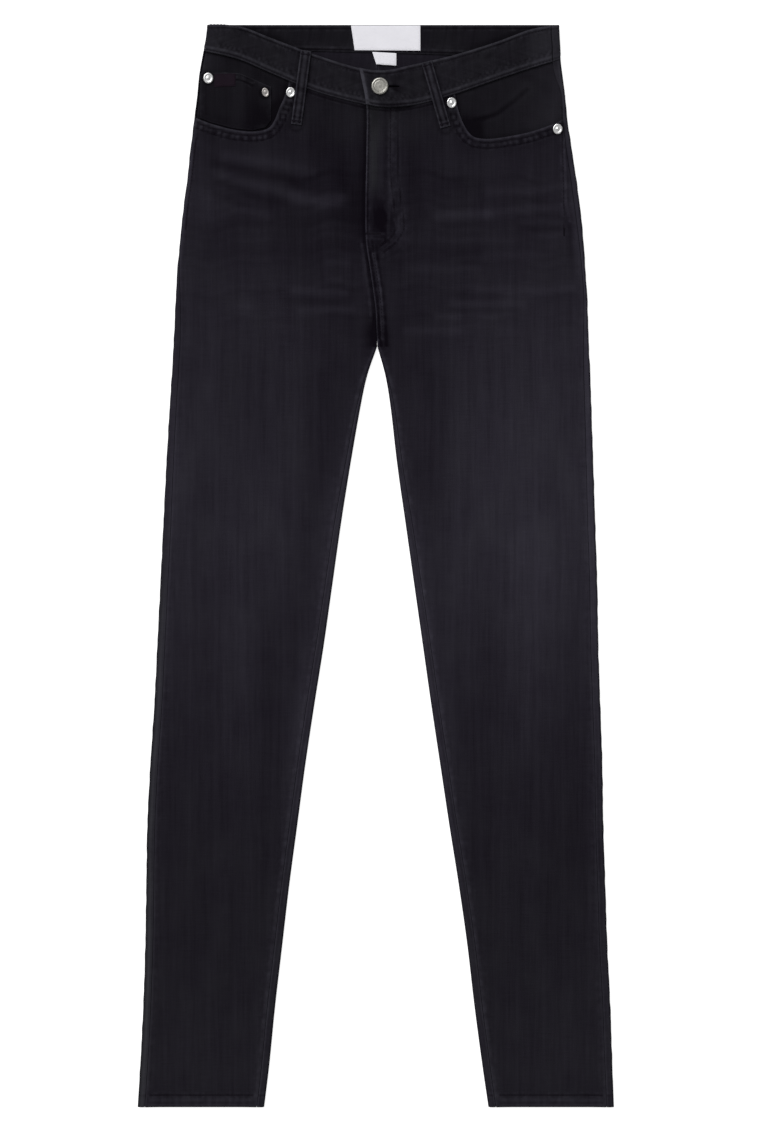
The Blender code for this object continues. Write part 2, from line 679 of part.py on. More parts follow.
def buttonhole():
    """Outline of the keyhole: a round eyelet about the shank, and the slot beside it."""
    x, height = BUTTON_PLACE
    half = 0.5 * BUTTONHOLE_WIDTH
    outline = []
    for k in range(13):
        angle = radians(25 + 310 * k / 12)
        outline.append((x + EYELET_RADIUS * cos(angle), height + EYELET_RADIUS * sin(angle)))
    end = BUTTONHOLE_END
    outline += [(end, height - half), (end + 0.4 * BUTTONHOLE_WIDTH, height), (end, height + half)]
    return outline


def pocket_cut(side, opening):
    """Outline of what a slanted pocket takes off a front, closed well outside it."""
    outline = [(side * POCKET_CUT_SIDE, opening[0].height)] + [(spot.x, spot.height) for spot in opening[1:]]
    low, high = POCKET_CUT_TOPS
    return outline + [(opening[-1].x, low), (side * 150.0, high), (side * POCKET_CUT_SIDE, high)]


fronts = {}
openings = {-1: RIGHT_OPENING, 1: LEFT_OPENING}
facings = {-1: RIGHT_FACING, 1: LEFT_FACING}
for side, word in ((-1, "right"), (1, "left")):
    fronts[side] = front_panel(side, "front_" + word)
    cut_away(fronts[side], "pocket_opening_" + word, pocket_cut(side, openings[side]))
    back_panel(side, "back_" + word)
    yoke(side, "yoke_" + word)
    facing(side, "pocket_facing_" + word, openings[side], facings[side])
    back_pocket(side, "back_pocket_" + word)

waistband_front(-1, "waistband_front_right")
left_band = waistband_front(1, "waistband_front_left")
cut_away(left_band, "buttonhole", buttonhole())
waistband_back("waistband_back")

flat_patch("coin_pocket", COIN_POCKET, COIN_BASE, FACING_CLOTH, denim)
flat_patch("coin_tab", COIN_TAB, COIN_TOP + LAYER_GAP, LABEL_CLOTH, dark_denim)
for loop in FRONT_LOOPS:
    front_loop(loop)
for name, x in BACK_LOOPS:
    back_loop(name, x)

label_base = SEAT_RISE + BAND_CLOTH + LAYER_GAP
flat_patch("main_label", MAIN_LABEL, label_base, LABEL_CLOTH, white)
flat_patch("size_label", SIZE_LABEL, label_base, LABEL_CLOTH, white)

button_base = BAND_TOP + BAND_LIFT
turned("button", BUTTON_PROFILE, 1.0, BUTTON_PLACE, button_base, 24, nickel)
for rivet in RIVETS:
    place = (rivet.x, rivet.height)
    turned(rivet.name, RIVET_PROFILE, rivet.radius, place, rivet.base + LAYER_GAP, 14, steel)
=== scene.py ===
"""Looks of the mom jeans: worn black denim laid flat, its sewing, its metal and the light.

Lengths are in millimetres until a mesh is made. A place on the garment is given by x, its distance
from the centre line (the wearer's left is +X), and by its height above the hem, as in the source.
Each cloth piece is a thin shell: a dense grid of points on its outer face, with a wall under it.
"""
from collections import namedtuple
from math import pi, radians

import bmesh
import bpy
import numpy as np
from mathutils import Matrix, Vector

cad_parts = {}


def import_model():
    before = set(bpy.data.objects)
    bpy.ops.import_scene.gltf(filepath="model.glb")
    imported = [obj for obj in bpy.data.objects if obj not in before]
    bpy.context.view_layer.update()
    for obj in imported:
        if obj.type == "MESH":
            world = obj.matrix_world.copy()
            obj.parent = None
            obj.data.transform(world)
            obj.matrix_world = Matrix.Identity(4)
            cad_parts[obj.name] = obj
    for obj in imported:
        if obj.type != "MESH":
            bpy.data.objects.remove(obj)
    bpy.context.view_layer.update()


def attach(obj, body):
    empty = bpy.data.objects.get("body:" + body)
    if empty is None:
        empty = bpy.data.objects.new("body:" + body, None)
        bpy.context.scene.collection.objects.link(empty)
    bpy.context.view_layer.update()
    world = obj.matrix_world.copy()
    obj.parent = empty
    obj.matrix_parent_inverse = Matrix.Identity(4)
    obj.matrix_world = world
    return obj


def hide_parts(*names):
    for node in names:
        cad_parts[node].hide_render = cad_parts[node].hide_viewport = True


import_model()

MM = 0.001
RIGHT, LEFT = -1, 1
WORDS = {RIGHT: "right", LEFT: "left"}

# Sizes of the garment, as in the source, apart from the slot, which its thread narrows
TOP_HEIGHT = 1081.0
CROTCH = 760.0
CENTRE_X = -0.5
SEAM_GAP = 0.4
BAND_GAP = 0.7
BAND_TUCK = 1.6              # the cloth below the waistband is caught this far inside it
LAYER_GAP = 0.3
CLOTH = 1.2
HEM_CLOTH = 2.2
HEM_DEPTH = 12.0
FACING_CLOTH = 1.0
BAND_CLOTH = 2.4
LOOP_CLOTH = 1.6
BACK_TRIM_CLOTH = 1.2
LABEL_CLOTH = 0.5
LEG_FOLD = 2.2
HEM_FOLD = 2.8
HIP_FOLD = 2.3
BAND_FOLD = 2.9
SEAT_RISE = 1.5
LEG_SAG = 1.4
HEM_SAG = 0.8
HIP_TOP = SEAT_RISE + 2 * HIP_FOLD
BAND_TOP = SEAT_RISE + 2 * BAND_FOLD
FACING_BASE = {RIGHT: SEAT_RISE + CLOTH + LAYER_GAP, LEFT: HIP_TOP - CLOTH - LAYER_GAP - FACING_CLOTH}
COIN_BASE = FACING_BASE[RIGHT] + FACING_CLOTH + LAYER_GAP
COIN_TOP = COIN_BASE + FACING_CLOTH
LABEL_BASE = SEAT_RISE + BAND_CLOTH + LAYER_GAP
FLY_LIFT = CLOTH + LAYER_GAP
BAND_LIFT = BAND_CLOTH + LAYER_GAP
FLY_FOOT = 820.0             # the left front rises over the right one from here to FLY_START
FLY_START = 846.0
FLY_UNDERLAP = 12.0
FLY_FLAT = 16.0              # and lies raised this far from its edge, and flat past FLY_FADE
FLY_FADE = 34.0
BAND_UNDERLAP_END = 17.0
BAND_FLAT = 25.0
BAND_FADE = 43.0
LEG_START = 70.0             # the hem's fold and sag have turned into the leg's here
SAG_START = 3.0              # the leg's top sinks from here to SAG_END, inward from its folds
SAG_END = 24.0
BUTTON_PLACE = (3.5, 1018.6)
EYELET_RADIUS = 2.7
SLOT_WIDTH = 1.2
BUTTONHOLE_END = 22.5
LOOP_WIDTH = 10.6
BACK_LOOP_WIDTH = 12.0
BACK_LOOP_LENGTH = 72.0
YOKE_SIDE = 1011.0
YOKE_CENTRE = 978.0
BACK_POCKET_CENTRE = 98.0
BACK_POCKET_TOP = 966.0
BACK_POCKET_TURN = radians(3.5)

Leg = namedtuple("Leg", "height outer inner seam inseam")
LEGS = {
    RIGHT: (
        Leg(0, 238.5, 112.0, 9.0, 9.0), Leg(41, 236.0, 107.0, 9.0, 9.0), Leg(101, 233.0, 101.0, 9.0, 9.0),
        Leg(161, 231.0, 94.0, 9.0, 9.0), Leg(221, 230.0, 87.0, 9.0, 9.0), Leg(281, 229.0, 79.0, 9.0, 9.0),
        Leg(341, 226.0, 71.0, 9.0, 9.0), Leg(401, 222.0, 62.0, 9.0, 9.0), Leg(461, 219.0, 52.5, 9.0, 9.0),
        Leg(521, 216.0, 44.0, 9.0, 8.5), Leg(581, 213.0, 35.5, 9.0, 8.0), Leg(641, 210.0, 26.0, 8.5, 6.5),
        Leg(701, 206.5, 15.5, 8.0, 5.0), Leg(731, 204.5, 9.0, 8.0, 3.0), Leg(760, 202.8, -1.0, 8.0, 0.5)),
    LEFT: (
        Leg(0, 237.5, 112.0, 9.0, 9.0), Leg(41, 236.0, 106.0, 9.0, 9.0), Leg(101, 234.0, 98.0, 9.0, 9.0),
        Leg(161, 231.0, 91.0, 9.0, 9.0), Leg(221, 229.0, 82.5, 9.0, 9.0), Leg(281, 227.0, 73.0, 9.0, 9.0),
        Leg(341, 226.0, 64.0, 9.0, 9.0), Leg(401, 224.0, 55.0, 9.0, 9.0), Leg(461, 222.0, 46.5, 9.0, 9.0),
        Leg(521, 221.0, 38.0, 9.0, 8.5), Leg(581, 219.0, 29.5, 9.0, 8.0), Leg(641, 217.0, 21.0, 8.5, 6.5),
        Leg(701, 215.0, 14.0, 8.0, 5.0), Leg(731, 214.0, 9.0, 8.0, 3.0), Leg(760, 212.6, 1.0, 7.0, 0.5))}

Hip = namedtuple("Hip", "height outer seam")
HIPS = {
    RIGHT: (
        Hip(760, 202.8, 8.0), Hip(776, 202.0, 7.5), Hip(806, 200.5, 6.0), Hip(836, 198.8, 3.5),
        Hip(866, 196.0, 1.2), Hip(896, 193.0, 1.0), Hip(926, 189.0, 1.0), Hip(956, 185.8, 1.0),
        Hip(986, 182.0, 1.0), Hip(1011, 179.0, 1.0), Hip(1031, 177.0, 1.0), Hip(1046, 174.4, 1.0),
        Hip(1058, 172.0, 1.0), Hip(1070, 170.0, 1.0), Hip(1086, 168.5, 1.0)),
    LEFT: (
        Hip(760, 212.6, 7.0), Hip(776, 212.0, 6.0), Hip(806, 211.0, 5.0), Hip(836, 209.0, 5.0),
        Hip(866, 207.0, 6.0), Hip(896, 204.0, 7.0), Hip(926, 200.0, 7.0), Hip(956, 195.5, 7.0),
        Hip(986, 191.0, 6.0), Hip(1011, 188.6, 5.0), Hip(1031, 186.0, 9.0), Hip(1046, 184.2, 10.0),
        Hip(1058, 184.0, 10.0), Hip(1070, 183.2, 10.0), Hip(1086, 182.6, 10.0))}

Centre = namedtuple("Centre", "height x")
CENTRE_SEAM = (
    Centre(760, 1.0), Centre(776, 0.0), Centre(796, -1.0), Centre(820, -4.0), Centre(840, -7.0),
    Centre(866, -10.5), Centre(900, -11.0), Centre(957, -10.0), Centre(1001, -10.2), Centre(1036, -17.0))

Band = namedtuple("Band", "x upper lower")
FRONT_BAND = (
    Band(-176, 1081.0, 1055.0), Band(-138, 1079.3, 1046.0), Band(-104, 1067.0, 1031.5),
    Band(-60, 1050.5, 1013.5), Band(-11, 1036.0, 1000.5), Band(12, 1035.0, 997.5),
    Band(40, 1041.5, 1000.5), Band(78, 1050.5, 1011.0), Band(120, 1063.5, 1025.5),
    Band(156, 1076.5, 1037.5), Band(188, 1081.0, 1047.0))
BACK_BAND = (
    Band(-176, 1081.0, 1055.0), Band(-56, 1081.0, 1054.0),
    Band(73, 1081.0, 1050.5), Band(188, 1081.0, 1047.0))

OPENINGS = {
    RIGHT: (
        (-181, 988.0), (-165.5, 982.0), (-143, 976.0), (-123.5, 974.0), (-108.5, 977.0),
        (-101.5, 985.5), (-97, 997.0), (-92, 1008.0), (-87.5, 1021.0)),
    LEFT: (
        (190, 988.0), (175, 981.0), (151, 973.0), (121, 967.5), (105, 967.0),
        (95.5, 970.0), (88.5, 979.0), (83.4, 991.0), (80.5, 1001.0), (78.5, 1012.0))}
OPENING_TOPS = (1040.0, 1070.0)      # the cut for an opening goes on under the waistband to these
OPENING_SIDE = 202.0                 # and past the outline to here
OPENING_MIDDLE = 150.0
COIN_LOWER = (
    (-177.5, 988.3), (-165.5, 983.6), (-143, 977.6), (-123.5, 975.4), (-110.5, 978.5), (-105, 985.5))
COIN_UPPER = ((-174.5, 1033.0), (-151, 1033.3), (-136, 1032.5), (-123, 1027.0), (-105, 1018.9))
FACING_CREASE = ((100, 985), (121, 992), (137.5, 1004), (151, 1016))

Loop = namedtuple("Loop", "name x_top top x_bottom bottom")
FRONT_LOOPS = (
    Loop("belt_loop_front_right", -70.0, 1054.5, -79.8, 981.0),
    Loop("belt_loop_front_left", 50.2, 1043.5, 69.0, 978.5))
BACK_LOOPS = (
    ("belt_loop_back_right", -104.0), ("belt_loop_back_centre", 1.0), ("belt_loop_back_left", 108.0))

Rivet = namedtuple("Rivet", "name x height radius base")
RIVETS = (
    Rivet("rivet_coin_outer", -167.7, 1027.5, 4.9, COIN_TOP),
    Rivet("rivet_coin_inner", -110.7, 1013.2, 4.4, COIN_TOP),
    Rivet("rivet_pocket_right", -85.5, 1013.2, 4.6, HIP_TOP),
    Rivet("rivet_pocket_left_inner", 75.2, 1002.8, 4.8, HIP_TOP),
    Rivet("rivet_pocket_left_outer", 181.0, 976.6, 4.7, HIP_TOP))

MAIN_LABEL = ((-21.6, 1055.6), (44, 1055.2), (44, 1080.3), (-25.2, 1080.3))
SIZE_LABEL = ((0, 1041.6), (20, 1040.2), (20, 1052.6), (-4, 1053.9))
COIN_TAB = ((-161.6, 1018.6), (-140.5, 1019.6), (-140.5, 1032.2), (-161.6, 1031.6))

# Creases and rubbed streaks: half width, how much lighter (less than nothing for the painted shade of a sunk
# crease), how far raised, and the line they follow
Streak = namedtuple("Streak", "width light lift path")
STREAKS = {
    RIGHT: (
        Streak(5.9, 0.11, 0.23, ((-150, 949), (-120, 945), (-92, 942))),
        Streak(4.9, 0.08, 0.15, ((-84, 938), (-63, 934))),
        Streak(5.6, 0.11, 0.23, ((-161, 931), (-105, 917), (-89, 912))),
        Streak(6.6, 0.20, 0.30, ((-82, 909), (-56, 904), (-36, 906))),
        Streak(4.9, 0.07, 0.15, ((-144, 898), (-106, 890))),
        Streak(11.5, 0.11, 0.10, ((-168, 911), (-168, 892))),
        Streak(4.9, 0.08, 0.12, ((-47, 844), (-28, 844))),
        Streak(4.3, 0.07, 0.10, ((-45, 827), (-37, 827))),
        Streak(4.6, 0.11, 0.17, ((-82, 815), (-33, 813))),
        Streak(4.3, 0.11, 0.17, ((-75, 795), (-24, 797))),
        Streak(4.6, 0.07, 0.10, ((-137, 799), (-126, 799))),
        Streak(5.6, -0.09, -0.17, ((-161, 942), (-91, 927), (-77, 920))),
        Streak(5.3, -0.07, -0.15, ((-164, 928), (-112, 906), (-92, 905))),
        Streak(4.9, -0.06, -0.12, ((-168, 916), (-136, 902))),
        Streak(4.9, -0.05, -0.10, ((-90, 806), (-30, 804)))),
    LEFT: (
        Streak(4.9, 0.08, 0.17, ((111, 914), (154, 914), (185, 921))),
        Streak(5.6, 0.15, 0.25, ((62, 889), (111, 892))),
        Streak(5.3, 0.09, 0.20, ((111, 892), (136, 895), (190, 897))),
        Streak(4.3, 0.07, 0.15, ((146, 884), (184, 884))),
        Streak(4.3, 0.07, 0.12, ((164, 871), (188, 871))),
        Streak(4.6, 0.04, 0.10, ((31, 865), (139, 865))),
        Streak(4.3, 0.07, 0.15, ((108, 851), (148, 851), (169, 850))),
        Streak(4.9, 0.07, 0.15, ((37, 837), (100, 837))),
        Streak(4.6, 0.09, 0.17, ((97, 815), (160, 815), (195, 818))),
        Streak(4.3, 0.08, 0.15, ((76, 802), (146, 802))),
        Streak(4.3, 0.09, 0.12, ((62, 789), (83, 789))),
        Streak(4.0, 0.05, 0.10, ((108, 789), (118, 789))),
        Streak(4.6, 0.10, 0.17, ((31, 775), (83, 775))),
        Streak(4.3, 0.05, 0.10, ((125, 774), (139, 774))),
        Streak(4.9, -0.06, -0.12, ((139, 906), (167, 906))),
        Streak(4.9, -0.07, -0.15, ((144, 889), (195, 889))),
        Streak(4.6, -0.06, -0.12, ((146, 877), (181, 876))),
        Streak(6.6, -0.05, -0.10, ((77, 921), (103, 921))),
        Streak(4.3, -0.06, -0.12, ((83, 809), (125, 809))),
        Streak(4.3, -0.06, -0.12, ((76, 796), (136, 796))))}

# Broad fades of the wash, and darker patches: where, half width, half length, how much lighter
Fade = namedtuple("Fade", "x height width length light")
FADES = {
    RIGHT: (
        Fade(-112, 600, 60, 150, 0.18), Fade(-120, 800, 60, 60, 0.08), Fade(-140, 445, 20, 110, 0.11),
        Fade(-195, 600, 32, 180, 0.13), Fade(-111, 455, 13, 90, -0.05), Fade(-26, 905, 15, 45, -0.12),
        Fade(-60, 640, 20, 70, -0.03), Fade(-60, 480, 20, 60, -0.04), Fade(-175, 905, 22, 30, 0.06),
        Fade(-205, 670, 20, 70, 0.10), Fade(-205, 480, 22, 90, 0.05), Fade(-52, 880, 34, 70, -0.035),
        Fade(-80, 385, 14, 50, 0.06), Fade(-165, 705, 22, 55, 0.07), Fade(-87, 870, 22, 42, -0.045),
        Fade(-185, 790, 26, 50, 0.05), Fade(-50, 965, 24, 60, -0.08), Fade(-160, 60, 60, 60, 0.03)),
    LEFT: (
        Fade(125, 620, 50, 130, 0.23), Fade(152, 500, 22, 90, 0.12), Fade(120, 800, 60, 60, 0.08),
        Fade(195, 620, 34, 150, 0.17), Fade(78, 540, 16, 120, 0.09), Fade(150, 390, 30, 90, 0.04),
        Fade(190, 760, 40, 60, 0.08), Fade(36, 925, 20, 70, -0.07), Fade(165, 890, 30, 40, 0.04),
        Fade(178, 490, 45, 95, 0.07), Fade(142, 690, 55, 60, 0.08), Fade(176, 540, 25, 60, 0.04),
        Fade(85, 540, 24, 100, 0.05), Fade(56, 546, 16, 50, 0.05), Fade(42, 685, 15, 40, 0.07),
        Fade(143, 545, 24, 35, 0.06), Fade(93, 455, 20, 70, 0.04), Fade(143, 385, 18, 36, 0.04),
        Fade(93, 845, 26, 30, -0.05), Fade(192, 270, 22, 65, -0.045),
        Fade(160, 60, 60, 60, 0.03))}

# Soft folds of the legs, as ridges on the front: half width, how much lighter, rise, line
FOLDS = {
    RIGHT: (
        Streak(15, 0.020, 0.9, ((-70, 700), (-92, 560), (-118, 420))),
        Streak(18, 0.015, 1.0, ((-150, 640), (-160, 480), (-165, 330))),
        Streak(13, 0.010, 0.7, ((-118, 380), (-140, 250), (-160, 130))),
        Streak(12, 0.010, 0.6, ((-190, 250), (-200, 120), (-205, 20))),
        Streak(16, 0.010, 0.8, ((-60, 740), (-110, 748), (-160, 742)))),
    LEFT: (
        Streak(16, 0.020, 1.0, ((85, 705), (112, 560), (140, 430))),
        Streak(15, 0.015, 0.8, ((165, 690), (172, 520), (176, 380))),
        Streak(13, 0.010, 0.7, ((125, 370), (150, 240), (168, 120))),
        Streak(12, 0.010, 0.6, ((195, 300), (200, 170), (208, 40))),
        Streak(15, 0.010, 0.8, ((70, 742), (120, 746), (175, 736))))}

# Lines that are rubbed light: how strongly, how wide, and where they run
Rub = namedtuple("Rub", "strength width path")
RUBS = {
    RIGHT: (
        Rub(0.5, 1.0, ((-14.5, 862), (-11, 838), (-7.5, 812), (-5.5, 790))),
        Rub(0.45, 1.3, ((-225, 7.2), (-120, 7.2)))),
    LEFT: (
        Rub(0.9, 1.1, ((-3, 852), (0, 839), (4, 816), (5.2, 797), (6, 768))),
        Rub(0.40, 1.3, ((14, 985), (14, 912), (12.5, 893), (12, 868))),
        Rub(0.20, 1.6, ((27.6, 893), (27.6, 866), (19, 857), (5.6, 849))),
        Rub(0.35, 2.6, ((22.5, 886), (22.5, 874))),
        Rub(0.5, 1.0, ((-7, 872), (8, 872))),
        Rub(0.4, 1.0, ((-7, 867), (7, 866))),
        Rub(0.6, 1.2, ((187.5, 985), (188, 940), (189, 905), (193, 885))),
        Rub(0.45, 1.3, ((120, 7.2), (225, 7.2))))}

# Sewing on the fronts, as lines of (x, height)
FLY_ROWS = (
    ((14, 996), (14.5, 930), (19, 893), (20, 880), (15, 869), (4, 860)),
    ((21, 996), (22, 930), (27, 889), (28, 878), (20, 864), (7, 853)))
SIDE_ROW = ((185, 1000), (186, 960), (187, 920), (187.5, 876))
OPENING_ROWS = (4.0, 9.0)
CENTRE_ROWS = (1.8, 6.2)
HEM_ROW = (123.5, 226.0)             # the hem's stitches run between these
BAND_LOWER_ROW = 2.2                 # above the waistband's lower edge
BAND_UPPER_ROW = 3.4                 # below its upper edge
STITCH_PITCH = 3.4
STITCH_LENGTH = 2.6


# Curves and tables

def column(rows, name):
    """One column of a table."""
    return np.array([getattr(row, name) for row in rows], float)


def smooth(rows, at, key, value):
    """Values of a table at places, on a Catmull-Rom curve through its rows."""
    keys, values = column(rows, key), column(rows, value)
    at = np.clip(at, keys[0], keys[-1])
    k = np.searchsorted(keys[1:-1], at)
    before, after = np.maximum(k - 1, 0), np.minimum(k + 2, len(keys) - 1)
    width = keys[k + 1] - keys[k]
    t = (at - keys[k]) / width
    slope_a = (values[k + 1] - values[before]) / (keys[k + 1] - keys[before]) * width
    slope_b = (values[after] - values[k]) / (keys[after] - keys[k]) * width
    return ((2 * t ** 3 - 3 * t ** 2 + 1) * values[k] + (t ** 3 - 2 * t ** 2 + t) * slope_a
            + (3 * t ** 2 - 2 * t ** 3) * values[k + 1] + (t ** 3 - t ** 2) * slope_b)


def ease(value, start, end):
    """From 0 to 1 between two values, smoothly."""
    t = np.clip((value - start) / (end - start), 0.0, 1.0)
    return t * t * (3 - 2 * t)


def line_through(path, spacing=2.0):
    """Evenly spaced points on a smooth curve through a path."""
    path = np.array(path, float)
    ahead = np.vstack([path[1:], 2 * path[-1] - path[-2]])
    behind = np.vstack([2 * path[0] - path[1], path[:-1]])
    slope = 0.5 * (ahead - behind)
    points = []
    for k in range(len(path) - 1):
        t = np.linspace(0, 1, 24, endpoint=False)[:, None]
        points.append((2 * t ** 3 - 3 * t ** 2 + 1) * path[k] + (t ** 3 - 2 * t ** 2 + t) * slope[k]
                      + (3 * t ** 2 - 2 * t ** 3) * path[k + 1] + (t ** 3 - t ** 2) * slope[k + 1])
    return evenly(np.vstack(points + [path[-1:]]), spacing)


def evenly(points, spacing):
    """Points at equal distances along a line."""
    run = np.concatenate([[0], np.cumsum(np.linalg.norm(np.diff(points, axis=0), axis=1))])
    at = np.linspace(0, run[-1], max(2, int(round(run[-1] / spacing)) + 1))
    return np.stack([np.interp(at, run, points[:, i]) for i in range(points.shape[1])], 1)


def beside(points, distance):
    """Line at a distance from another one, on its left as it runs."""
    along = np.gradient(points[:, :2], axis=0)
    along /= np.linalg.norm(along, axis=1)[:, None]
    moved = points.copy()
    moved[:, :2] += distance * np.stack([-along[:, 1], along[:, 0]], 1)
    return moved


def nearest(x, height, path):
    """Distance of places from a line, and how far along the line they are."""
    path = np.array(path, float)
    x, height = np.broadcast_arrays(x, height)
    best, place, passed = np.full(x.shape, 1e9), np.zeros(x.shape), 0.0
    for a, b in zip(path, path[1:]):
        run = b - a
        size = np.hypot(*run)
        t = np.clip(((x - a[0]) * run[0] + (height - a[1]) * run[1]) / size ** 2, 0, 1)
        away = (x - a[0] - t * run[0]) ** 2 + (height - a[1] - t * run[1]) ** 2
        closer = away < best
        best, place = np.where(closer, away, best), np.where(closer, passed + t * size, place)
        passed += size
    return np.sqrt(best), place


def distance_to(x, height, path):
    return nearest(x, height, path)[0]


def ripple(at, *waves):
    """Uneven waves along a line, from -1 to 1: wavelengths with odd phases."""
    total = sum(np.sin(2 * pi * at / wave + 1.7 * k + wave) for k, wave in enumerate(waves))
    return total / len(waves)


def bell(distance, width):
    """Soft peak of 1 that falls off over a width."""
    return np.exp(-(distance / width) ** 2)


# Shape of the garment laid flat

def outer_edge(side, height):
    leg = smooth(LEGS[side], np.minimum(height, CROTCH), "height", "outer")
    return np.where(height <= CROTCH, leg, smooth(HIPS[side], height, "height", "outer"))


def side_seam(side, height):
    leg = smooth(LEGS[side], np.minimum(height, CROTCH), "height", "seam")
    return np.where(height <= CROTCH, leg, smooth(HIPS[side], height, "height", "seam"))


def inseam(side, height):
    return smooth(LEGS[side], np.minimum(height, CROTCH), "height", "inseam")


def centre_seam(height):
    """x of the centre seam, and of the fly's edge above it."""
    return smooth(CENTRE_SEAM, height, "height", "x")


def inner_edge(side, height, front):
    leg = smooth(LEGS[side], np.minimum(height, CROTCH), "height", "inner")
    centre = centre_seam(height) if front else CENTRE_SEAM[0].x
    return np.where(height <= CROTCH, leg, side * centre)


def seat_height(height):
    return SEAT_RISE * ease(height, 776, 812)


def fold_radius(height):
    leg = HEM_FOLD + (LEG_FOLD - HEM_FOLD) * ease(height, HEM_DEPTH, LEG_START)
    return leg + (HIP_FOLD - leg) * ease(height, 700, 812)


def sag(height):
    leg = HEM_SAG + (LEG_SAG - HEM_SAG) * ease(height, HEM_DEPTH, LEG_START)
    return leg * (1 - ease(height, 640, CROTCH))


def wall(height):
    return CLOTH + (HEM_CLOTH - CLOTH) * (1 - ease(height, HEM_DEPTH, HEM_DEPTH + 6))


def fly_lift(side, x, height):
    """How far the left front rises over the right one along the fly."""
    if side == RIGHT:
        return np.zeros(np.shape(x))
    rise = FLY_LIFT * ease(height, FLY_FOOT, FLY_START)
    return rise * (1 - ease(x - centre_seam(height), FLY_FLAT, FLY_FADE))


class Tube:
    """Flattened tube at the heights of some points: its size and where its cloth lies."""

    def __init__(self, side, height, front, radius=None, under=None):
        self.side, self.height = side, height
        self.outer = outer_edge(side, height)
        self.radius = fold_radius(height) if radius is None else radius
        self.under = seat_height(height) if under is None else under
        self.width = self.outer - inner_edge(side, height, front)
        self.turn = 0.5 * pi * (1 - ease(height, CROTCH - 0.01, CROTCH + 2 * self.radius))
        self.straight = self.width - self.radius - self.radius * np.sin(self.turn)
        self.quarter = 0.5 * pi * self.radius
        self.reach = self.quarter + self.turn * self.radius + self.straight

    def place(self, along):
        """Outer face and its normal, at a distance along the cloth from the outer fold."""
        along = np.where(along < -self.reach, 2 * self.reach + along, along)
        face = np.where(along > 0, 1.0, -1.0)
        far = np.abs(along)
        near = far < self.quarter
        end = (far > self.quarter + self.straight) & (self.turn > 1e-6)
        a, b = far / self.radius, (far - self.quarter - self.straight) / self.radius
        turned_in = self.radius + self.straight + self.radius * np.sin(b)
        inward = np.where(near, self.radius * (1 - np.cos(a)), np.where(
            end, turned_in, self.radius + far - self.quarter))
        rise = np.where(near, np.sin(a), np.where(end, np.cos(b), 1.0))
        lean = np.where(near, -np.cos(a), np.where(end, np.sin(b), 0.0))
        z = self.under + self.radius * (1 + face * rise)
        from_edge = np.minimum(inward, self.width - inward) - self.radius
        z = z - np.where(face > 0, sag(self.height) * ease(from_edge, SAG_START, SAG_END), 0)
        x = self.side * (self.outer - inward)
        point = np.stack([x, self.height + 0 * x, z], -1)
        return point, np.stack([-self.side * lean, 0 * x, face * rise], -1)

    def along(self, x):
        """Cloth distance from the outer fold of a place on top."""
        inward = self.outer - self.side * x
        on_fold = self.radius * np.arccos(np.clip(1 - inward / self.radius, -1, 1))
        return np.where(inward < self.radius, on_fold, inward - self.radius + self.quarter)


def yoke_seam(x):
    return YOKE_SIDE + (YOKE_CENTRE - YOKE_SIDE) * (1 - ease(np.abs(x), 0, 185) ** 0.8)


def band_lower(x, front=True):
    return smooth(FRONT_BAND if front else BACK_BAND, x, "x", "lower")


def band_upper(x, front=True):
    return smooth(FRONT_BAND if front else BACK_BAND, x, "x", "upper")


opening_lines = {side: line_through(OPENINGS[side], 1.5) for side in OPENINGS}
front_rows = {
    side: [beside(opening_lines[side], side * row) for row in OPENING_ROWS]
    for side in OPENINGS}


def seam_distances(side, x, height):
    """Cloth on the front between a place and its side seam, and its inseam or centre edge."""
    tube = Tube(side, height, True)
    along = tube.along(x)
    inner = np.where(height <= CROTCH, inseam(side, height), 0.0)
    return along - side_seam(side, height), tube.reach - inner - along


def streaks_at(streaks, x, height):
    """How much lighter, and how far raised, the cloth is by all its streaks."""
    light = lift = 0.0
    for streak in streaks:
        bump = bell(distance_to(x, height, streak.path), streak.width)
        light, lift = light + streak.light * bump, lift + streak.lift * bump
    return light, lift


def gather(run):
    """Puckers between two rows of stitches, from 0 to 1 along them."""
    wave = np.sin(2 * pi * (run + 1.6 * ripple(run, 41, 27)) / 6.4)
    return ease(wave, -0.4, 0.9) * (0.62 + 0.38 * ripple(run, 33, 57, 21))


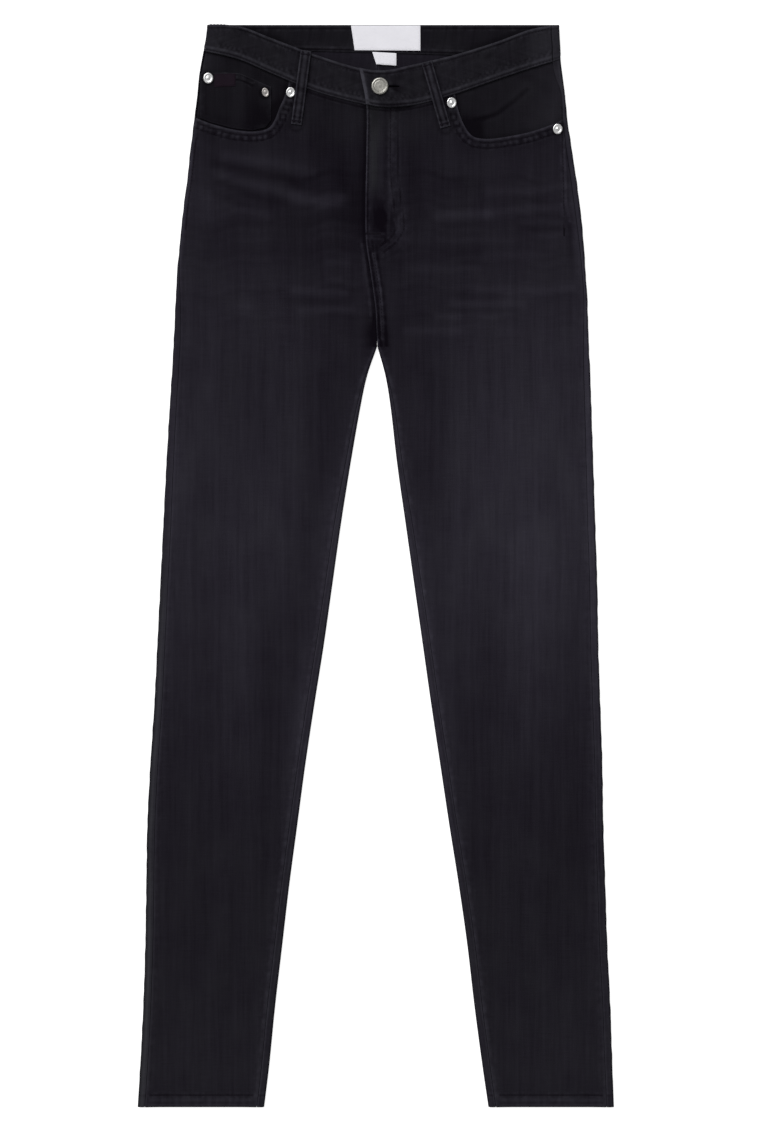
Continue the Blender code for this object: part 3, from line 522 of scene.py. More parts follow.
def front_relief(side, x, height):
    """Height of the front's surface over the plain tube: seams, puckers, creases and soft folds."""
    from_seam, from_inner = seam_distances(side, x, height)
    leg = height <= CROTCH
    lift = streaks_at(STREAKS[side], x, height)[1] + streaks_at(FOLDS[side], x, height)[1]
    clear = ease(from_seam, 2, 14) * ease(from_inner, 2, 14) * ease(height, 14, 40)
    clear = clear * (1 - ease(height, 946, 966))
    uneven = (0.25 * ripple(x + 0.35 * height, 61, 37) * ripple(height - 0.2 * x, 143, 89)
              + 0.10 * ripple(height + 0.6 * x, 23, 31))
    lift = (lift + uneven) * clear
    lift = np.maximum(lift, np.where(leg, -0.35, -0.7))
    pucker = 0.5 + 0.5 * ripple(height + side, 8.3, 11.9, 17.3)
    inner_roll = np.where(leg, (0.12 + 0.20 * pucker) * bell(from_inner - 2.2, 1.5), 0.0)
    lift = lift + (0.12 + 0.22 * pucker) * bell(from_seam - 2.4, 1.6) - 0.18 * bell(from_seam, 0.8)
    lift = lift + inner_roll - 0.2 * bell(from_inner, 0.8)
    opening, run = nearest(x, height, opening_lines[side])
    lift = lift + 0.30 * bell(opening - 1.6, 1.4) + (0.05 + 0.50 * gather(run)) * bell(opening - 6.5, 1.9)
    for row in front_rows[side]:
        lift = lift - 0.22 * bell(distance_to(x, height, row), 0.8)
    lift = lift - 0.25 * bell(band_lower(x) - height, 1.0)
    if side == LEFT:
        for row in FLY_ROWS:
            lift = lift - 0.28 * bell(distance_to(x, height, row), 0.9)
        lift = lift + 0.14 * bell(distance_to(x, height, FLY_ROWS[1]) - 2.2, 1.3)
        lift = lift - 0.22 * bell(distance_to(x, height, SIDE_ROW), 0.8)
    return lift + 0.35 * bell(height - 3.0, 2.2) * pucker - 0.16 * bell(height - HEM_DEPTH, 1.4)


def front_top(side, x, height):
    """Height over the floor of the front's surface."""
    tube = Tube(side, height, True)
    point, _ = tube.place(tube.along(x))
    return point[..., 2] + fly_lift(side, x, height) + front_relief(side, x, height)


def rim_light(side, x, height):
    """Painted rim highlights in strips along the folds at the edges of the legs, and the painted shade of their
    dark broken outline.
    """
    outer = outer_edge(side, height) - side * x
    inner = np.where(height <= CROTCH, side * x - inner_edge(side, height, True), 99.0)
    broken = 0.5 + 0.5 * ripple(height + 60 * side, 17, 29, 47)
    if side == RIGHT:
        light = 0.36 * bell(outer - 4.0, 2.2) * ease(590 - height, 0, 190)
        light = light + 0.22 * bell(outer - 2.4, 1.8) * ease(height, 780, 880)
    else:
        edge_light = (0.13 + 0.11 * ease(height, 200, 400)) * (0.5 + 0.5 * broken)
        # Painted highlight on the side seam's ridge at the hip, and painted shade in the valley inside it.
        hip_ridge = 0.14 * bell(outer - 6.5, 2.8) - 0.11 * bell(outer - 13, 2.2)
        light = edge_light * bell(outer - 2.7, 1.4) + 0.22 * bell(outer - 4.6, 2.4) * bell(height - 610, 200)
        light = light + hip_ridge * bell(height - 876, 40) + 0.10 * bell(outer - 5, 4) * ease(height, 975, 990)
    strip = 0.24 * bell(inner - 3.0, 1.5) + (0.16 * bell(inner - 0.6, 1.6) if side == LEFT else 0.0)
    strip = strip * (0.45 + 0.55 * broken) * (0.35 + 0.65 * ease(height, 120, 330))
    light = light + strip * (1 - 0.7 * ease(height, 650, 720))
    # Painted shade where the folds turn under at the edges, broken along them.
    dark = np.maximum(1 - ease(outer, 0.3, 2.0), 1 - ease(inner, 0.3, 1.6))
    return light - 0.26 * dark * (0.2 + 0.8 * broken)


def front_tint(side, x, height):
    """How grey, not plum, the front is: its lower legs, its rim under the painted rim highlight, and the strip
    beside the fly.
    """
    outer = outer_edge(side, height) - side * x
    tint = 0.06 + 0.30 * (1 - ease(height, 120, 420)) + 0.4 * ease(height, 940, 1000)
    tint = tint + (0.7 * bell(outer - 3, 4) * (1 - ease(height, 500, 620)) if side == RIGHT else 0.0)
    if side == LEFT:
        tint = tint + 0.8 * bell(x - centre_seam(height) - 8, 5) * ease(height, 900, 930)
    return np.clip(tint, 0, 1)


def shade_of_trim(x, height):
    """Painted contact shade on the cloth close beside the belt loops and round the rivets."""
    shade = 0.0
    for loop in FRONT_LOOPS:
        away = distance_to(x, height, ((loop.x_top, loop.top), (loop.x_bottom, loop.bottom)))
        shade = shade + 0.10 * bell(away - 0.5 * LOOP_WIDTH - 1.2, 1.4)
    for rivet in RIVETS:
        away = np.hypot(x - rivet.x, height - rivet.height) - rivet.radius
        shade = shade + 0.12 * bell(away - 0.9, 1.3)
    return shade


def fades_at(fades, x, height):
    """How much lighter the cloth is by all its fades."""
    light = 0.0
    for fade in fades:
        away = ((x - fade.x) / fade.width) ** 2 + ((height - fade.height) / fade.length) ** 2
        light = light + fade.light * np.exp(-away)
    return light


def wear_of_leg(side, height, from_seam, from_inner):
    """Light of a leg's seams, with beads along them, which fades out near the crotch."""
    inner_light = 0.10 * ease(height, 200, 430) + 0.05 * (side == LEFT) * bell(height - 480, 90)
    beads = 0.05 * ripple(height + 40 * side, 9.7, 14.1, 22.0) * bell(from_seam - 2, 4)
    light = 0.03 * bell(from_seam - 3, 8) + inner_light * bell(from_inner - 3, 12)
    light = light + beads + 0.13 * bell(from_seam, 1.5) + 0.12 * bell(from_inner, 1.3)
    return light * ease(CROTCH - height, 20, 160)


def wear_of_hip(x, height):
    """Fine uneven bands across the hips and the upper legs."""
    zone = ease(height, 735, 800) * (1 - ease(height, 925, 960))
    bands = ripple(height + 0.05 * np.abs(x) + 4 * ripple(x, 83, 47), 9.5, 14.3, 23.7, 37.1)
    return 0.055 * zone * bands * (0.6 + 0.4 * ripple(x + 0.3 * height, 71, 113))


def wear_and_shade_of_fly(side, x, height):
    """Painted shade beside the fly and the centre seam: the fly edge's shadow, the dark beside its rows, in the
    recess at its foot and between the centre seam's rows; with a rubbed light strip and line.
    """
    past = x - centre_seam(height)
    above = height > CROTCH
    if side == RIGHT:
        shade = (0.13 * bell(past + 1.5, 2.2) + 0.05 * bell(past + 4, 8)) * above
        return 0.05 * bell(past + 6.5, 1.3) * bell(height - 838, 22) - shade
    strip = bell(past - 8.0, 4.2) * ease(height, 906, 930) * (1 - ease(height, 968, 990))
    foot = 0.95 * bell(past - 15, 8) * bell(height - 889, 19)
    foot = foot + 0.85 * bell(past - 18, 14) * bell(height - 873, 28)
    foot = foot * (0.85 + 0.25 * ripple(x, 5.1, 8.3) * ripple(height, 19, 31))
    beside_edge = 0.10 * bell(past - 2.5, 1.3) * ease(height, 850, 880)
    beside_row = 0.08 * bell(past - 19.5, 1.6) * ease(height, 905, 920)
    between_rows = bell(past - 3.4, 1.6) + bell(past + 2.0, 1.6) + 0.8 * bell(past - 9.5, 2.0)
    between_rows = between_rows * (1 - ease(height, 850, 868)) * above
    return 0.15 * strip - 0.20 * foot - beside_edge - beside_row - 0.19 * between_rows


def wear_and_shade_of_opening(side, x, height):
    """Light puckers between the two rows of stitches at a pocket's opening, rubbed and with a painted highlight on
    their tops and painted shade between them, and painted shade in the rows and beside them.
    """
    opening, run = nearest(x, height, opening_lines[side])
    puckers = 0.50 * (gather(run) - 0.30) * bell(opening - 6.6, 1.8)
    rows = bell(opening - 3.4, 1.0) + bell(opening - 9.8, 1.2) * (0.4 + 1.2 * gather(run + 3))
    return puckers - 0.03 * bell(opening - 13, 5) - 0.11 * rows


def wear_and_shade_at(side, x, height):
    """How worn the front is, with painted light and shade in the same map: its fades, streaks, folds and seams,
    painted rim highlights, painted shade by the trim, fly, waistband and hem's fold, and darker about the crotch.
    Black unworn cloth is 0.
    """
    from_seam, from_inner = seam_distances(side, x, height)
    wear_and_shade = 0.20 + streaks_at(STREAKS[side], x, height)[0] + streaks_at(FOLDS[side], x, height)[0]
    wear_and_shade = wear_and_shade + fades_at(FADES[side], x, height) + wear_of_leg(side, height, from_seam, from_inner)
    wear_and_shade = wear_and_shade + wear_of_hip(x, height) + wear_and_shade_of_fly(side, x, height) + wear_and_shade_of_opening(side, x, height)
    # The hem's ripple is rubbed wear, its dark bottom edge painted shade of the fold; beneath_band is painted
    # shade under the waistband's lower edge.
    hem = 0.06 * ripple(x, 6.7, 11.3) * bell(height - 6, 5) - 0.30 * bell(height, 0.9)
    hip_seam = 0.03 * bell(from_seam - 6, 7) * (height > CROTCH)
    beneath_band = 0.07 * bell(band_lower(x) - height, 7)
    crotch = 0.18 * bell(np.hypot((x - 1) * 1.5, height - 770), 20)
    wear_and_shade = wear_and_shade + rim_light(side, x, height) - shade_of_trim(x, height)
    return wear_and_shade + hem + hip_seam - beneath_band - crotch


# Materials

class Value:
    """Number on a socket: arithmetic on it adds Math nodes to its look."""

    def __init__(self, look, socket):
        self.look, self.socket = look, socket

    def maths(self, operation, *others):
        values = dict(enumerate((self, *others)))
        return self.look.node("ShaderNodeMath", {"operation": operation}, values)

    def __add__(self, other):
        return self.maths("ADD", other)

    def __mul__(self, other):
        return self.maths("MULTIPLY", other)

    def __sub__(self, other):
        return self.maths("SUBTRACT", other)

    def __rsub__(self, other):
        return self.look.node("ShaderNodeMath", {"operation": "SUBTRACT"}, {0: other, 1: self})

    __radd__ = __add__
    __rmul__ = __mul__


class Look:
    """Material being built from nodes."""

    def __init__(self, name):
        self.material = bpy.data.materials.new(name)
        self.material.use_nodes = True
        self.tree = self.material.node_tree
        self.shader = self.tree.nodes["Principled BSDF"]

    def node(self, kind, settings=None, values=None, outlet=0):
        """New node of a type, its settings made first; its result is one of its outlets."""
        made = self.tree.nodes.new(kind)
        for name, setting in (settings or {}).items():
            setattr(made, name, setting)
        for name, value in (values or {}).items():
            self.put(made.inputs[name], value)
        return Value(self, made.outputs[outlet])

    def put(self, socket, value):
        if isinstance(value, Value):
            self.tree.links.new(value.socket, socket)
        else:
            socket.default_value = value

    def attribute(self, name, outlet="Fac"):
        return self.node("ShaderNodeAttribute", {"attribute_name": name}, outlet=outlet)

    def across_and_up(self, vector):
        """First two numbers of a vector."""
        split = self.node("ShaderNodeSeparateXYZ", None, {0: vector})
        return split, Value(self, split.socket.node.outputs[1])

    def scaled(self, vector, scale):
        return self.node("ShaderNodeVectorMath", {"operation": "MULTIPLY"}, {0: vector, 1: scale})

    def noise(self, vector, scale, detail=2.0, roughness=0.5):
        """Noise about zero, from -1 to 1, stretched by its scale along each axis."""
        found = self.node("ShaderNodeTexNoise", None, {
            "Vector": self.scaled(vector, scale), "Scale": 1.0, "Detail": detail, "Roughness": roughness})
        return (found - 0.5) * 2.0

    def clamp(self, value):
        return self.node("ShaderNodeClamp", None, {0: value})

    def between(self, value, low, high):
        settings = {"interpolation_type": "SMOOTHSTEP"}
        return self.node("ShaderNodeMapRange", settings, {0: value, 1: low, 2: high})

    def bell(self, value, centre, width):
        """Soft peak about a centre."""
        away = (value - centre) * (1 / width)
        return (away * away * -1.0).maths("EXPONENT")

    def mix(self, amount, a, b):
        return self.node("ShaderNodeMix", {"data_type": "RGBA"}, {0: amount, 6: a, 7: b}, outlet=2)

    def surface(self, **sockets):
        """Values or links for the shader's sockets, by their names."""
        for name, value in sockets.items():
            self.put(self.shader.inputs[name.replace("_", " ")], value)

    def bump(self, height, distance, strength=1.0):
        self.surface(Normal=self.node("ShaderNodeBump", None, {
            "Height": height, "Distance": distance, "Strength": strength}))


BLACK_DYE = (0.0036, 0.0024, 0.0048, 1)
WORN_YARN = (0.0450, 0.0415, 0.0570, 1)
GREY_DYE = (0.0037, 0.0033, 0.0043, 1)
GREY_YARN = (0.0445, 0.0445, 0.0520, 1)
TWILL = 0.95                 # one diagonal rib of the weave


def denim_look(name, streaky=1.0, rubbed=0.42, base=0.0):
    """Black denim: a map of wear with painted light and shade, rubbed edges, stitch lines with painted shade and
    light, warp streaks and the twill.
    """
    look = Look(name)
    cloth, wear_and_shade = look.attribute("cloth", "Vector"), look.attribute("wear_and_shade")
    edge, row, rub, tint = (look.attribute(map_name) for map_name in ("edge", "row", "rub", "tint"))
    warp = look.noise(cloth, (0.62, 0.026, 0.0), 3.0, 0.62)
    broad = look.noise(cloth, (0.19, 0.006, 0.0), 2.0)
    mottle = look.noise(cloth, (0.030, 0.022, 0.0), 3.0)
    slub = look.noise(cloth, (0.05, 1.1, 0.0), 2.0)
    along_seam = look.noise(cloth, (0.16, 0.16, 0.0), 2.0, 0.6)
    yarn = look.noise(cloth, (2.2, 1.4, 0.0), 2.0)
    across, up = look.across_and_up(cloth)
    rib = ((across + up + warp * 0.35) * (2 * pi / TWILL)).maths("SINE")
    amount = wear_and_shade + base
    depth = amount * 0.5 + 0.09
    amount = amount + (warp * 0.40 + broad * 0.44 + mottle * 0.38 + slub * 0.30) * depth * streaky
    amount = amount + (rib * 0.20 + yarn * 0.40) * depth
    rub = rub * look.bell(edge, 0.4, 1.05) * (look.between(along_seam, -0.6, 0.5) * 0.6 + 0.4)
    halo = look.bell(edge, 3.0, 2.6) * look.between(along_seam, -0.3, 0.5)
    # Painted shade in the grooves of the stitch rows, and painted light on the shoulders beside them.
    groove = look.bell(row, 0.0, 0.9)
    shoulder = look.bell(row, 2.1, 0.9) * look.between(along_seam, -0.2, 0.4)
    amount = amount + rub * rubbed + halo * 0.07 - groove * 0.14 + shoulder * 0.10
    amount = look.clamp(amount)
    relief = rib * 0.5 + yarn * 0.6 + warp * 0.5 + along_seam * look.bell(row, 0.0, 3.0) * 2.0
    plum, grey = look.mix(amount, BLACK_DYE, WORN_YARN), look.mix(amount, GREY_DYE, GREY_YARN)
    colour = look.mix(look.clamp(tint + mottle * 0.35), plum, grey)
    look.surface(Base_Color=colour, Roughness=0.92 - amount * 0.14, Specular_IOR_Level=0.03,
                 Sheen_Weight=0.003, Sheen_Roughness=0.45)
    look.bump(relief, 0.00012, 0.8)
    return look.material


def plain_cloth_look(name, dark, light, rib_width, bump, shine):
    """Fine ribbon or tape, woven in small ribs, for the labels and the tab."""
    look = Look(name)
    cloth, edge = look.attribute("cloth", "Vector"), look.attribute("edge")
    rib = (look.across_and_up(cloth)[1] * (2 * pi / rib_width)).maths("SINE")
    soft = look.noise(cloth, (0.05, 0.05, 0.0), 3.0)
    fine = look.noise(cloth, (1.6, 1.2, 0.0), 2.0)
    amount = look.clamp(0.72 + rib * 0.10 + soft * 0.25 + fine * 0.12 - look.bell(edge, 1.1, 0.5) * 0.25)
    look.surface(Base_Color=look.mix(amount, dark, light), Roughness=0.62 - soft * 0.05,
                 Specular_IOR_Level=shine)
    look.bump(rib + fine, bump)
    return look.material


def thread_look(name, colour, shine):
    """Sewing thread, with the twist of its plies."""
    look = Look(name)
    place = look.node("ShaderNodeTexCoord", outlet="Object")
    twist = look.noise(place, (900.0, 900.0, 900.0), 2.0)
    tone = look.noise(place, (90.0, 90.0, 90.0), 2.0)
    lit = tuple(2.1 * c for c in colour[:3]) + (1,)
    amount = look.clamp(0.4 + tone * 0.5 + twist * 0.3)
    look.surface(Base_Color=look.mix(amount, colour, lit), Roughness=0.7 - twist * 0.1,
                 Specular_IOR_Level=shine)
    look.bump(twist, 0.0001)
    return look.material


def metal_look(name, dark, light, roughness):
    """Cast metal, a little tarnished, with fine handling marks."""
    look = Look(name)
    place = look.node("ShaderNodeTexCoord", outlet="Object")
    tarnish = look.noise(place, (260.0, 260.0, 260.0), 4.0, 0.6)
    marks = look.noise(place, (1500.0, 1100.0, 1500.0), 3.0)
    amount = look.clamp(0.62 + tarnish * 0.45 + marks * 0.2)
    look.surface(Base_Color=look.mix(amount, dark, light), Metallic=1.0,
                 Roughness=roughness + tarnish * 0.08 + marks * 0.05)
    look.bump(marks, 0.00004)
    return look.material


denim = denim_look("denim")
facing_denim = denim_look("unworn_denim", 0.8, 0.14)
label_cloth = plain_cloth_look(
    "label_ribbon", (0.72, 0.71, 0.76, 1), (0.90, 0.89, 0.94, 1), 0.7, 0.00006, 0.25)
tab_cloth = plain_cloth_look(
    "tab_ribbon", (0.0050, 0.0026, 0.0050, 1), (0.0145, 0.0088, 0.0148, 1), 0.8, 0.00008, 0.04)
thread = thread_look("black_thread", (0.0042, 0.0032, 0.0054, 1), 0.05)
nickel = metal_look("brushed_nickel", (0.25, 0.245, 0.22, 1), (0.43, 0.42, 0.39, 1), 0.36)
steel = metal_look("steel", (0.50, 0.50, 0.50, 1), (0.78, 0.78, 0.78, 1), 0.30)
worn_steel = metal_look("tarnished_steel", (0.22, 0.20, 0.19, 1), (0.42, 0.40, 0.39, 1), 0.42)


# Meshes

FAR = 30.0                   # distances in the maps of a piece end here


def world(points):
    """Places on the garment in the frame's own metres."""
    points = np.asarray(points, float)
    return np.stack([(points[..., 0] - CENTRE_X) * MM, (points[..., 1] - 0.5 * TOP_HEIGHT) * MM,
                     points[..., 2] * MM], -1)


def add_mesh(name, points, faces, look):
    mesh = bpy.data.meshes.new(name)
    mesh.from_pydata(world(points).reshape(-1, 3).tolist(), [], faces)
    mesh.materials.append(look)
    made = bpy.data.objects.new(name, mesh)
    bpy.context.scene.collection.objects.link(made)
    return made


def settle(made, angle=0.9):
    """Shade a mesh smooth up to an angle, with all its faces turned outwards."""
    bm = bmesh.new()
    bm.from_mesh(made.data)
    bmesh.ops.recalc_face_normals(bm, faces=bm.faces)
    bm.to_mesh(made.data)
    bm.free()
    made.data.shade_smooth()
    made.data.set_sharp_from_angle(angle=angle)
    return made


def set_map(made, name, values):
    """Write a map over the cloth: one number, or one place, for each point."""
    values = np.asarray(values, np.float32)
    kind, field = ("FLOAT_VECTOR", "vector") if values.ndim == 2 else ("FLOAT", "value")
    layer = made.data.attributes.new(name, kind, "POINT")
    layer.data.foreach_set(field, values.ravel())


def grid_faces(rows, columns, first=0, flip=False):
    """Faces of a grid of points."""
    j, i = np.meshgrid(np.arange(rows - 1), np.arange(columns - 1), indexing="ij")
    a = first + j * columns + i
    quads = np.stack([a, a + 1, a + columns + 1, a + columns], -1).reshape(-1, 4)
    return (quads[:, ::-1] if flip else quads).tolist()


def shell(name, outer, inner, look):
    """Closed wall between two grids of points."""
    rows, columns = outer.shape[:2]
    count = rows * columns
    faces = grid_faces(rows, columns) + grid_faces(rows, columns, count, True)
    rim = [j * columns for j in range(rows)] + [(rows - 1) * columns + i for i in range(1, columns)]
    rim += [j * columns + columns - 1 for j in range(rows - 2, -1, -1)] + list(range(columns - 2, 0, -1))
    for a, b in zip(rim, rim[1:] + rim[:1]):
        faces.append((a, b, b + count, a + count))
    points = np.concatenate([outer.reshape(-1, 3), inner.reshape(-1, 3)])
    return add_mesh(name, points, faces, look)


def within(outline, x, height):
    """Whether places lie inside a closed outline."""
    inside = np.zeros(x.shape, bool)
    for (ax, ay), (bx, by) in zip(outline, [*outline[1:], outline[0]]):
        if ay != by:
            inside ^= ((ay > height) != (by > height)) & (x < ax + (height - ay) * (bx - ax) / (by - ay))
    return inside


def cut_area(points, opening=None):
    """Area, width and length of a grid of points, in metres, less what an opening takes off."""
    u, v = np.diff(points, axis=1), np.diff(points, axis=0)
    cells = np.linalg.norm(np.cross(u[:-1], v[:, :-1]), axis=2)
    if opening is not None:
        cells = cells * ~within(opening, points[:-1, :-1, 0], points[:-1, :-1, 1])
    area = cells.sum()
    width = np.linalg.norm(u, axis=2).sum(1).max()
    length = np.linalg.norm(v, axis=2).sum(0).max()
    return area * MM ** 2, width * MM, length * MM


def settle_piece(made, node, cut=None):
    """Tie a piece to the frame; cut, the area, width and length of a sheet of cloth, is not used."""
    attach(made, "root")
    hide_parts(node)


def to_border(points):
    """Distance of each point of a grid from the grid's border, and its distances across and up."""
    across = np.concatenate([np.zeros((points.shape[0], 1)),
                             np.cumsum(np.linalg.norm(np.diff(points, axis=1), axis=2), 1)], 1)
    up = np.concatenate([np.zeros((1, points.shape[1])),
                         np.cumsum(np.linalg.norm(np.diff(points, axis=0), axis=2), 0)])
    border = np.minimum(np.minimum(across, across[:, -1:] - across), np.minimum(up, up[-1:] - up))
    return border, across, up


def rounded(distance, radius):
    """Drop of a surface near an edge rounded by a radius."""
    back = np.clip(1 - distance / radius, 0, 1)
    return radius * (1 - np.sqrt(1 - back ** 2))


def near_edge(count, step, growth):
    """Steps that widen away from an edge."""
    return np.concatenate([[0], np.cumsum(step * growth ** np.arange(count - 1))])


def places_between(start, end, near_start, near_end, middle):
    """Columns of a grid: fixed steps near both ends and an even spread between them."""
    first = start[..., None] + near_start
    last = end[..., None] - near_end[::-1]
    t = np.linspace(0, 1, middle + 2)[1:-1]
    even = first[..., -1:] * (1 - t) + last[..., :1] * t
    return np.concatenate([first, even, last], -1)


def maps_for(made, points, wear_and_shade, edge, row, rub=1.0, tint=0.1, wear_and_shade_inside=None):
    """Maps of a piece: place in its cloth, wear with painted light and shade, distance to rubbed edges and to
    rows, rubbing, tint.
    """
    count = len(made.data.vertices) // len(points)
    cloth = np.concatenate([points, np.zeros((len(points), 1))], 1)
    maps = {"cloth": cloth, "wear_and_shade": wear_and_shade, "edge": edge, "row": row, "rub": rub, "tint": tint}
    for name, values in maps.items():
        values = np.broadcast_to(np.asarray(values, float), (len(points), *np.shape(values)[1:]))
        faces = [values] * count
        if name == "wear_and_shade" and wear_and_shade_inside is not None:
            faces[1] = np.broadcast_to(wear_and_shade_inside, values.shape)
        set_map(made, name, np.concatenate(faces))


def places_of(made):
    """x and height of a mesh's points."""
    flat = np.empty(3 * len(made.data.vertices))
    made.data.vertices.foreach_get("co", flat)
    points = flat.reshape(-1, 3) / MM
    return points[:, 0] + CENTRE_X, points[:, 1] + 0.5 * TOP_HEIGHT


def prism(name, outline, low, high):
    """Closed prism over an outline, for cutting."""
    bm = bmesh.new()
    bottom = [bm.verts.new(world((x, height, low))) for x, height in outline]
    top = [bm.verts.new(world((x, height, high))) for x, height in outline]
    bm.faces.new(bottom[::-1])
    bm.faces.new(top)
    for k in range(len(outline)):
        n = (k + 1) % len(outline)
        bm.faces.new((bottom[k], bottom[n], top[n], top[k]))
    bmesh.ops.recalc_face_normals(bm, faces=bm.faces)
    mesh = bpy.data.meshes.new(name)
    bm.to_mesh(mesh)
    bm.free()
    made = bpy.data.objects.new(name, mesh)
    bpy.context.scene.collection.objects.link(made)
    return made


def cut_away(made, outline):
    """Cut a piece right through over an outline."""
    cutter = prism("cutter", outline, -20, 40)
    cut = made.modifiers.new("cut", "BOOLEAN")
    cut.operation = "DIFFERENCE"
    cut.object = cutter
    mesh = bpy.data.meshes.new_from_object(made.evaluated_get(bpy.context.evaluated_depsgraph_get()))
    made.modifiers.clear()
    made.data = mesh
    bpy.data.objects.remove(cutter)


# Fronts

LEG_HEIGHTS = np.concatenate([
    [0, 0.5, 1.2, 2, 3, 4.2, 5.5, 7, 8.5, 10, 11, 12, 13, 14, 15.5, 17.5, 20, 23],
    np.linspace(26.5, 753, 212), [755.5, 757.5, 759, 760]])
HIP_STEPS = np.concatenate([[0.7, 1.5, 2.5, 3.6, 4.8, 6.2], np.linspace(8.2, 290.5, 150)])
FRONT_NEAR_SEAM = near_edge(12, 0.5, 1.12)
FRONT_NEAR_CENTRE = near_edge(26, 0.5, 1.055)
FRONT_MIDDLE_COLUMNS = 54
FRONT_COLUMNS = len(FRONT_NEAR_SEAM) + len(FRONT_NEAR_CENTRE) + FRONT_MIDDLE_COLUMNS
ROUGH_TOP = 1030.0           # first guess of a panel's top, which the rounds put right
ROUNDS = 6


def front_grid(side):
    """Points, normals and thickness of the front's outer face."""
    legs = np.repeat(LEG_HEIGHTS[:, None], FRONT_COLUMNS, 1)
    share = (HIP_STEPS / HIP_STEPS[-1])[:, None]
    top = np.full((len(share), FRONT_COLUMNS), ROUGH_TOP)
    each = np.arange(FRONT_COLUMNS)
    for _ in range(ROUNDS):
        height = np.vstack([legs, CROTCH + share * (top - CROTCH)])
        tube = Tube(side, height, True)
        underlap = (side == RIGHT) * (FLY_UNDERLAP + SEAM_GAP) * ease(height, FLY_START, FLY_START + 34)
        inset = 0.5 * SEAM_GAP + np.where(height <= CROTCH, inseam(side, height), -underlap)
        start, end = side_seam(side, height) + 0.5 * SEAM_GAP, tube.reach - inset
        along = places_between(start, end, FRONT_NEAR_SEAM, FRONT_NEAR_CENTRE, FRONT_MIDDLE_COLUMNS)
        point, normal = tube.place(along[:, each, each])
        top = band_lower(point[len(legs):, :, 0]) + BAND_TUCK
    return point, normal, wall(height)


def front_rubs(side, x, height):
    """Distance to the nearest rubbed line of a front, and how strongly that line is rubbed."""
    from_seam, from_inner = seam_distances(side, x, height)
    leg = height <= CROTCH
    beads = 0.45 + 0.35 * ripple(height + 60 * side, 9.3, 14.9, 23.0)
    lines = [
        (np.abs(from_seam - 1.2), 0.18), (np.where(leg, np.abs(from_inner - 2.0) * 0.7, FAR), beads),
        (distance_to(x, height, opening_lines[side]) * 0.8, 1.1), (np.abs(height - 1.9), 0.5)]
    if side == LEFT:
        from_fly = np.abs(x - centre_seam(height) - 0.5)
        lines.append((np.where(leg, FAR, from_fly), 0.9 + 0.6 * ease(height, 905, 930)))
    lines += [(distance_to(x, height, rub.path) / rub.width, rub.strength) for rub in RUBS[side]]
    away, strength = (np.stack([np.broadcast_to(line[k], x.shape) for line in lines]) for k in (0, 1))
    closest = away.argmin(0)[None]
    away, strength = (np.take_along_axis(values, closest, 0)[0] for values in (away, strength))
    return np.clip(away, 0, FAR), strength


def centre_line(offset, low, high):
    """Line at a distance from the centre seam, between two heights."""
    height = np.linspace(low, high, 40)
    return np.stack([centre_seam(height) + offset, height], 1)


def sewing_of_front(side):
    """Lines of stitches on a front."""
    rows = [row[3:] for row in front_rows[side]]
    if side == LEFT:
        rows += [line_through(row) for row in (*FLY_ROWS, SIDE_ROW)]
        rows += [centre_line(offset, 768, 866) for offset in CENTRE_ROWS]
        rows.append(centre_line(CENTRE_ROWS[0], 872, 992))
    else:
        height = np.linspace(876, 968, 30)
        rows.append(np.stack([side * (outer_edge(side, height) - 4.5), height], 1))
    hem = side * np.linspace(*HEM_ROW, 50)
    rows.append(np.stack([hem, np.full(50, HEM_DEPTH)], 1))
    return rows


def build_front(side):
    """Front panel, with its pocket's opening cut out."""
    word = WORDS[side]
    point, normal, thick = front_grid(side)
    raised = point.copy()
    raised[..., 2] += fly_lift(side, point[..., 0], point[..., 1])
    inside = raised - normal * thick[..., None]
    raised += normal * front_relief(side, point[..., 0], point[..., 1])[..., None]
    front = shell("front_" + word + "_cloth", raised, inside, denim)

    opening = [tuple(spot) for spot in opening_lines[side]]
    low, high = OPENING_TOPS
    outline = [(side * OPENING_SIDE, opening[0][1]), *opening[1:], (opening[-1][0], low),
               (side * OPENING_MIDDLE, high), (side * OPENING_SIDE, high)]
    cut_away(front, outline)

    x, height = places_of(front)
    row = np.min([distance_to(x, height, line) for line in sewing_of_front(side)], axis=0)
    row = np.minimum(row, np.abs(band_lower(x) - 2.6 - height))
    edge, rub = front_rubs(side, x, height)
    maps_for(front, np.stack([side * x, height], 1), wear_and_shade_at(side, x, height), edge,
             np.clip(row, 0, FAR), rub, front_tint(side, x, height))
    settle(front)
    settle_piece(front, "front_" + word, cut_area(point, outline))


for side in (RIGHT, LEFT):
    build_front(side)


# Backs and yokes

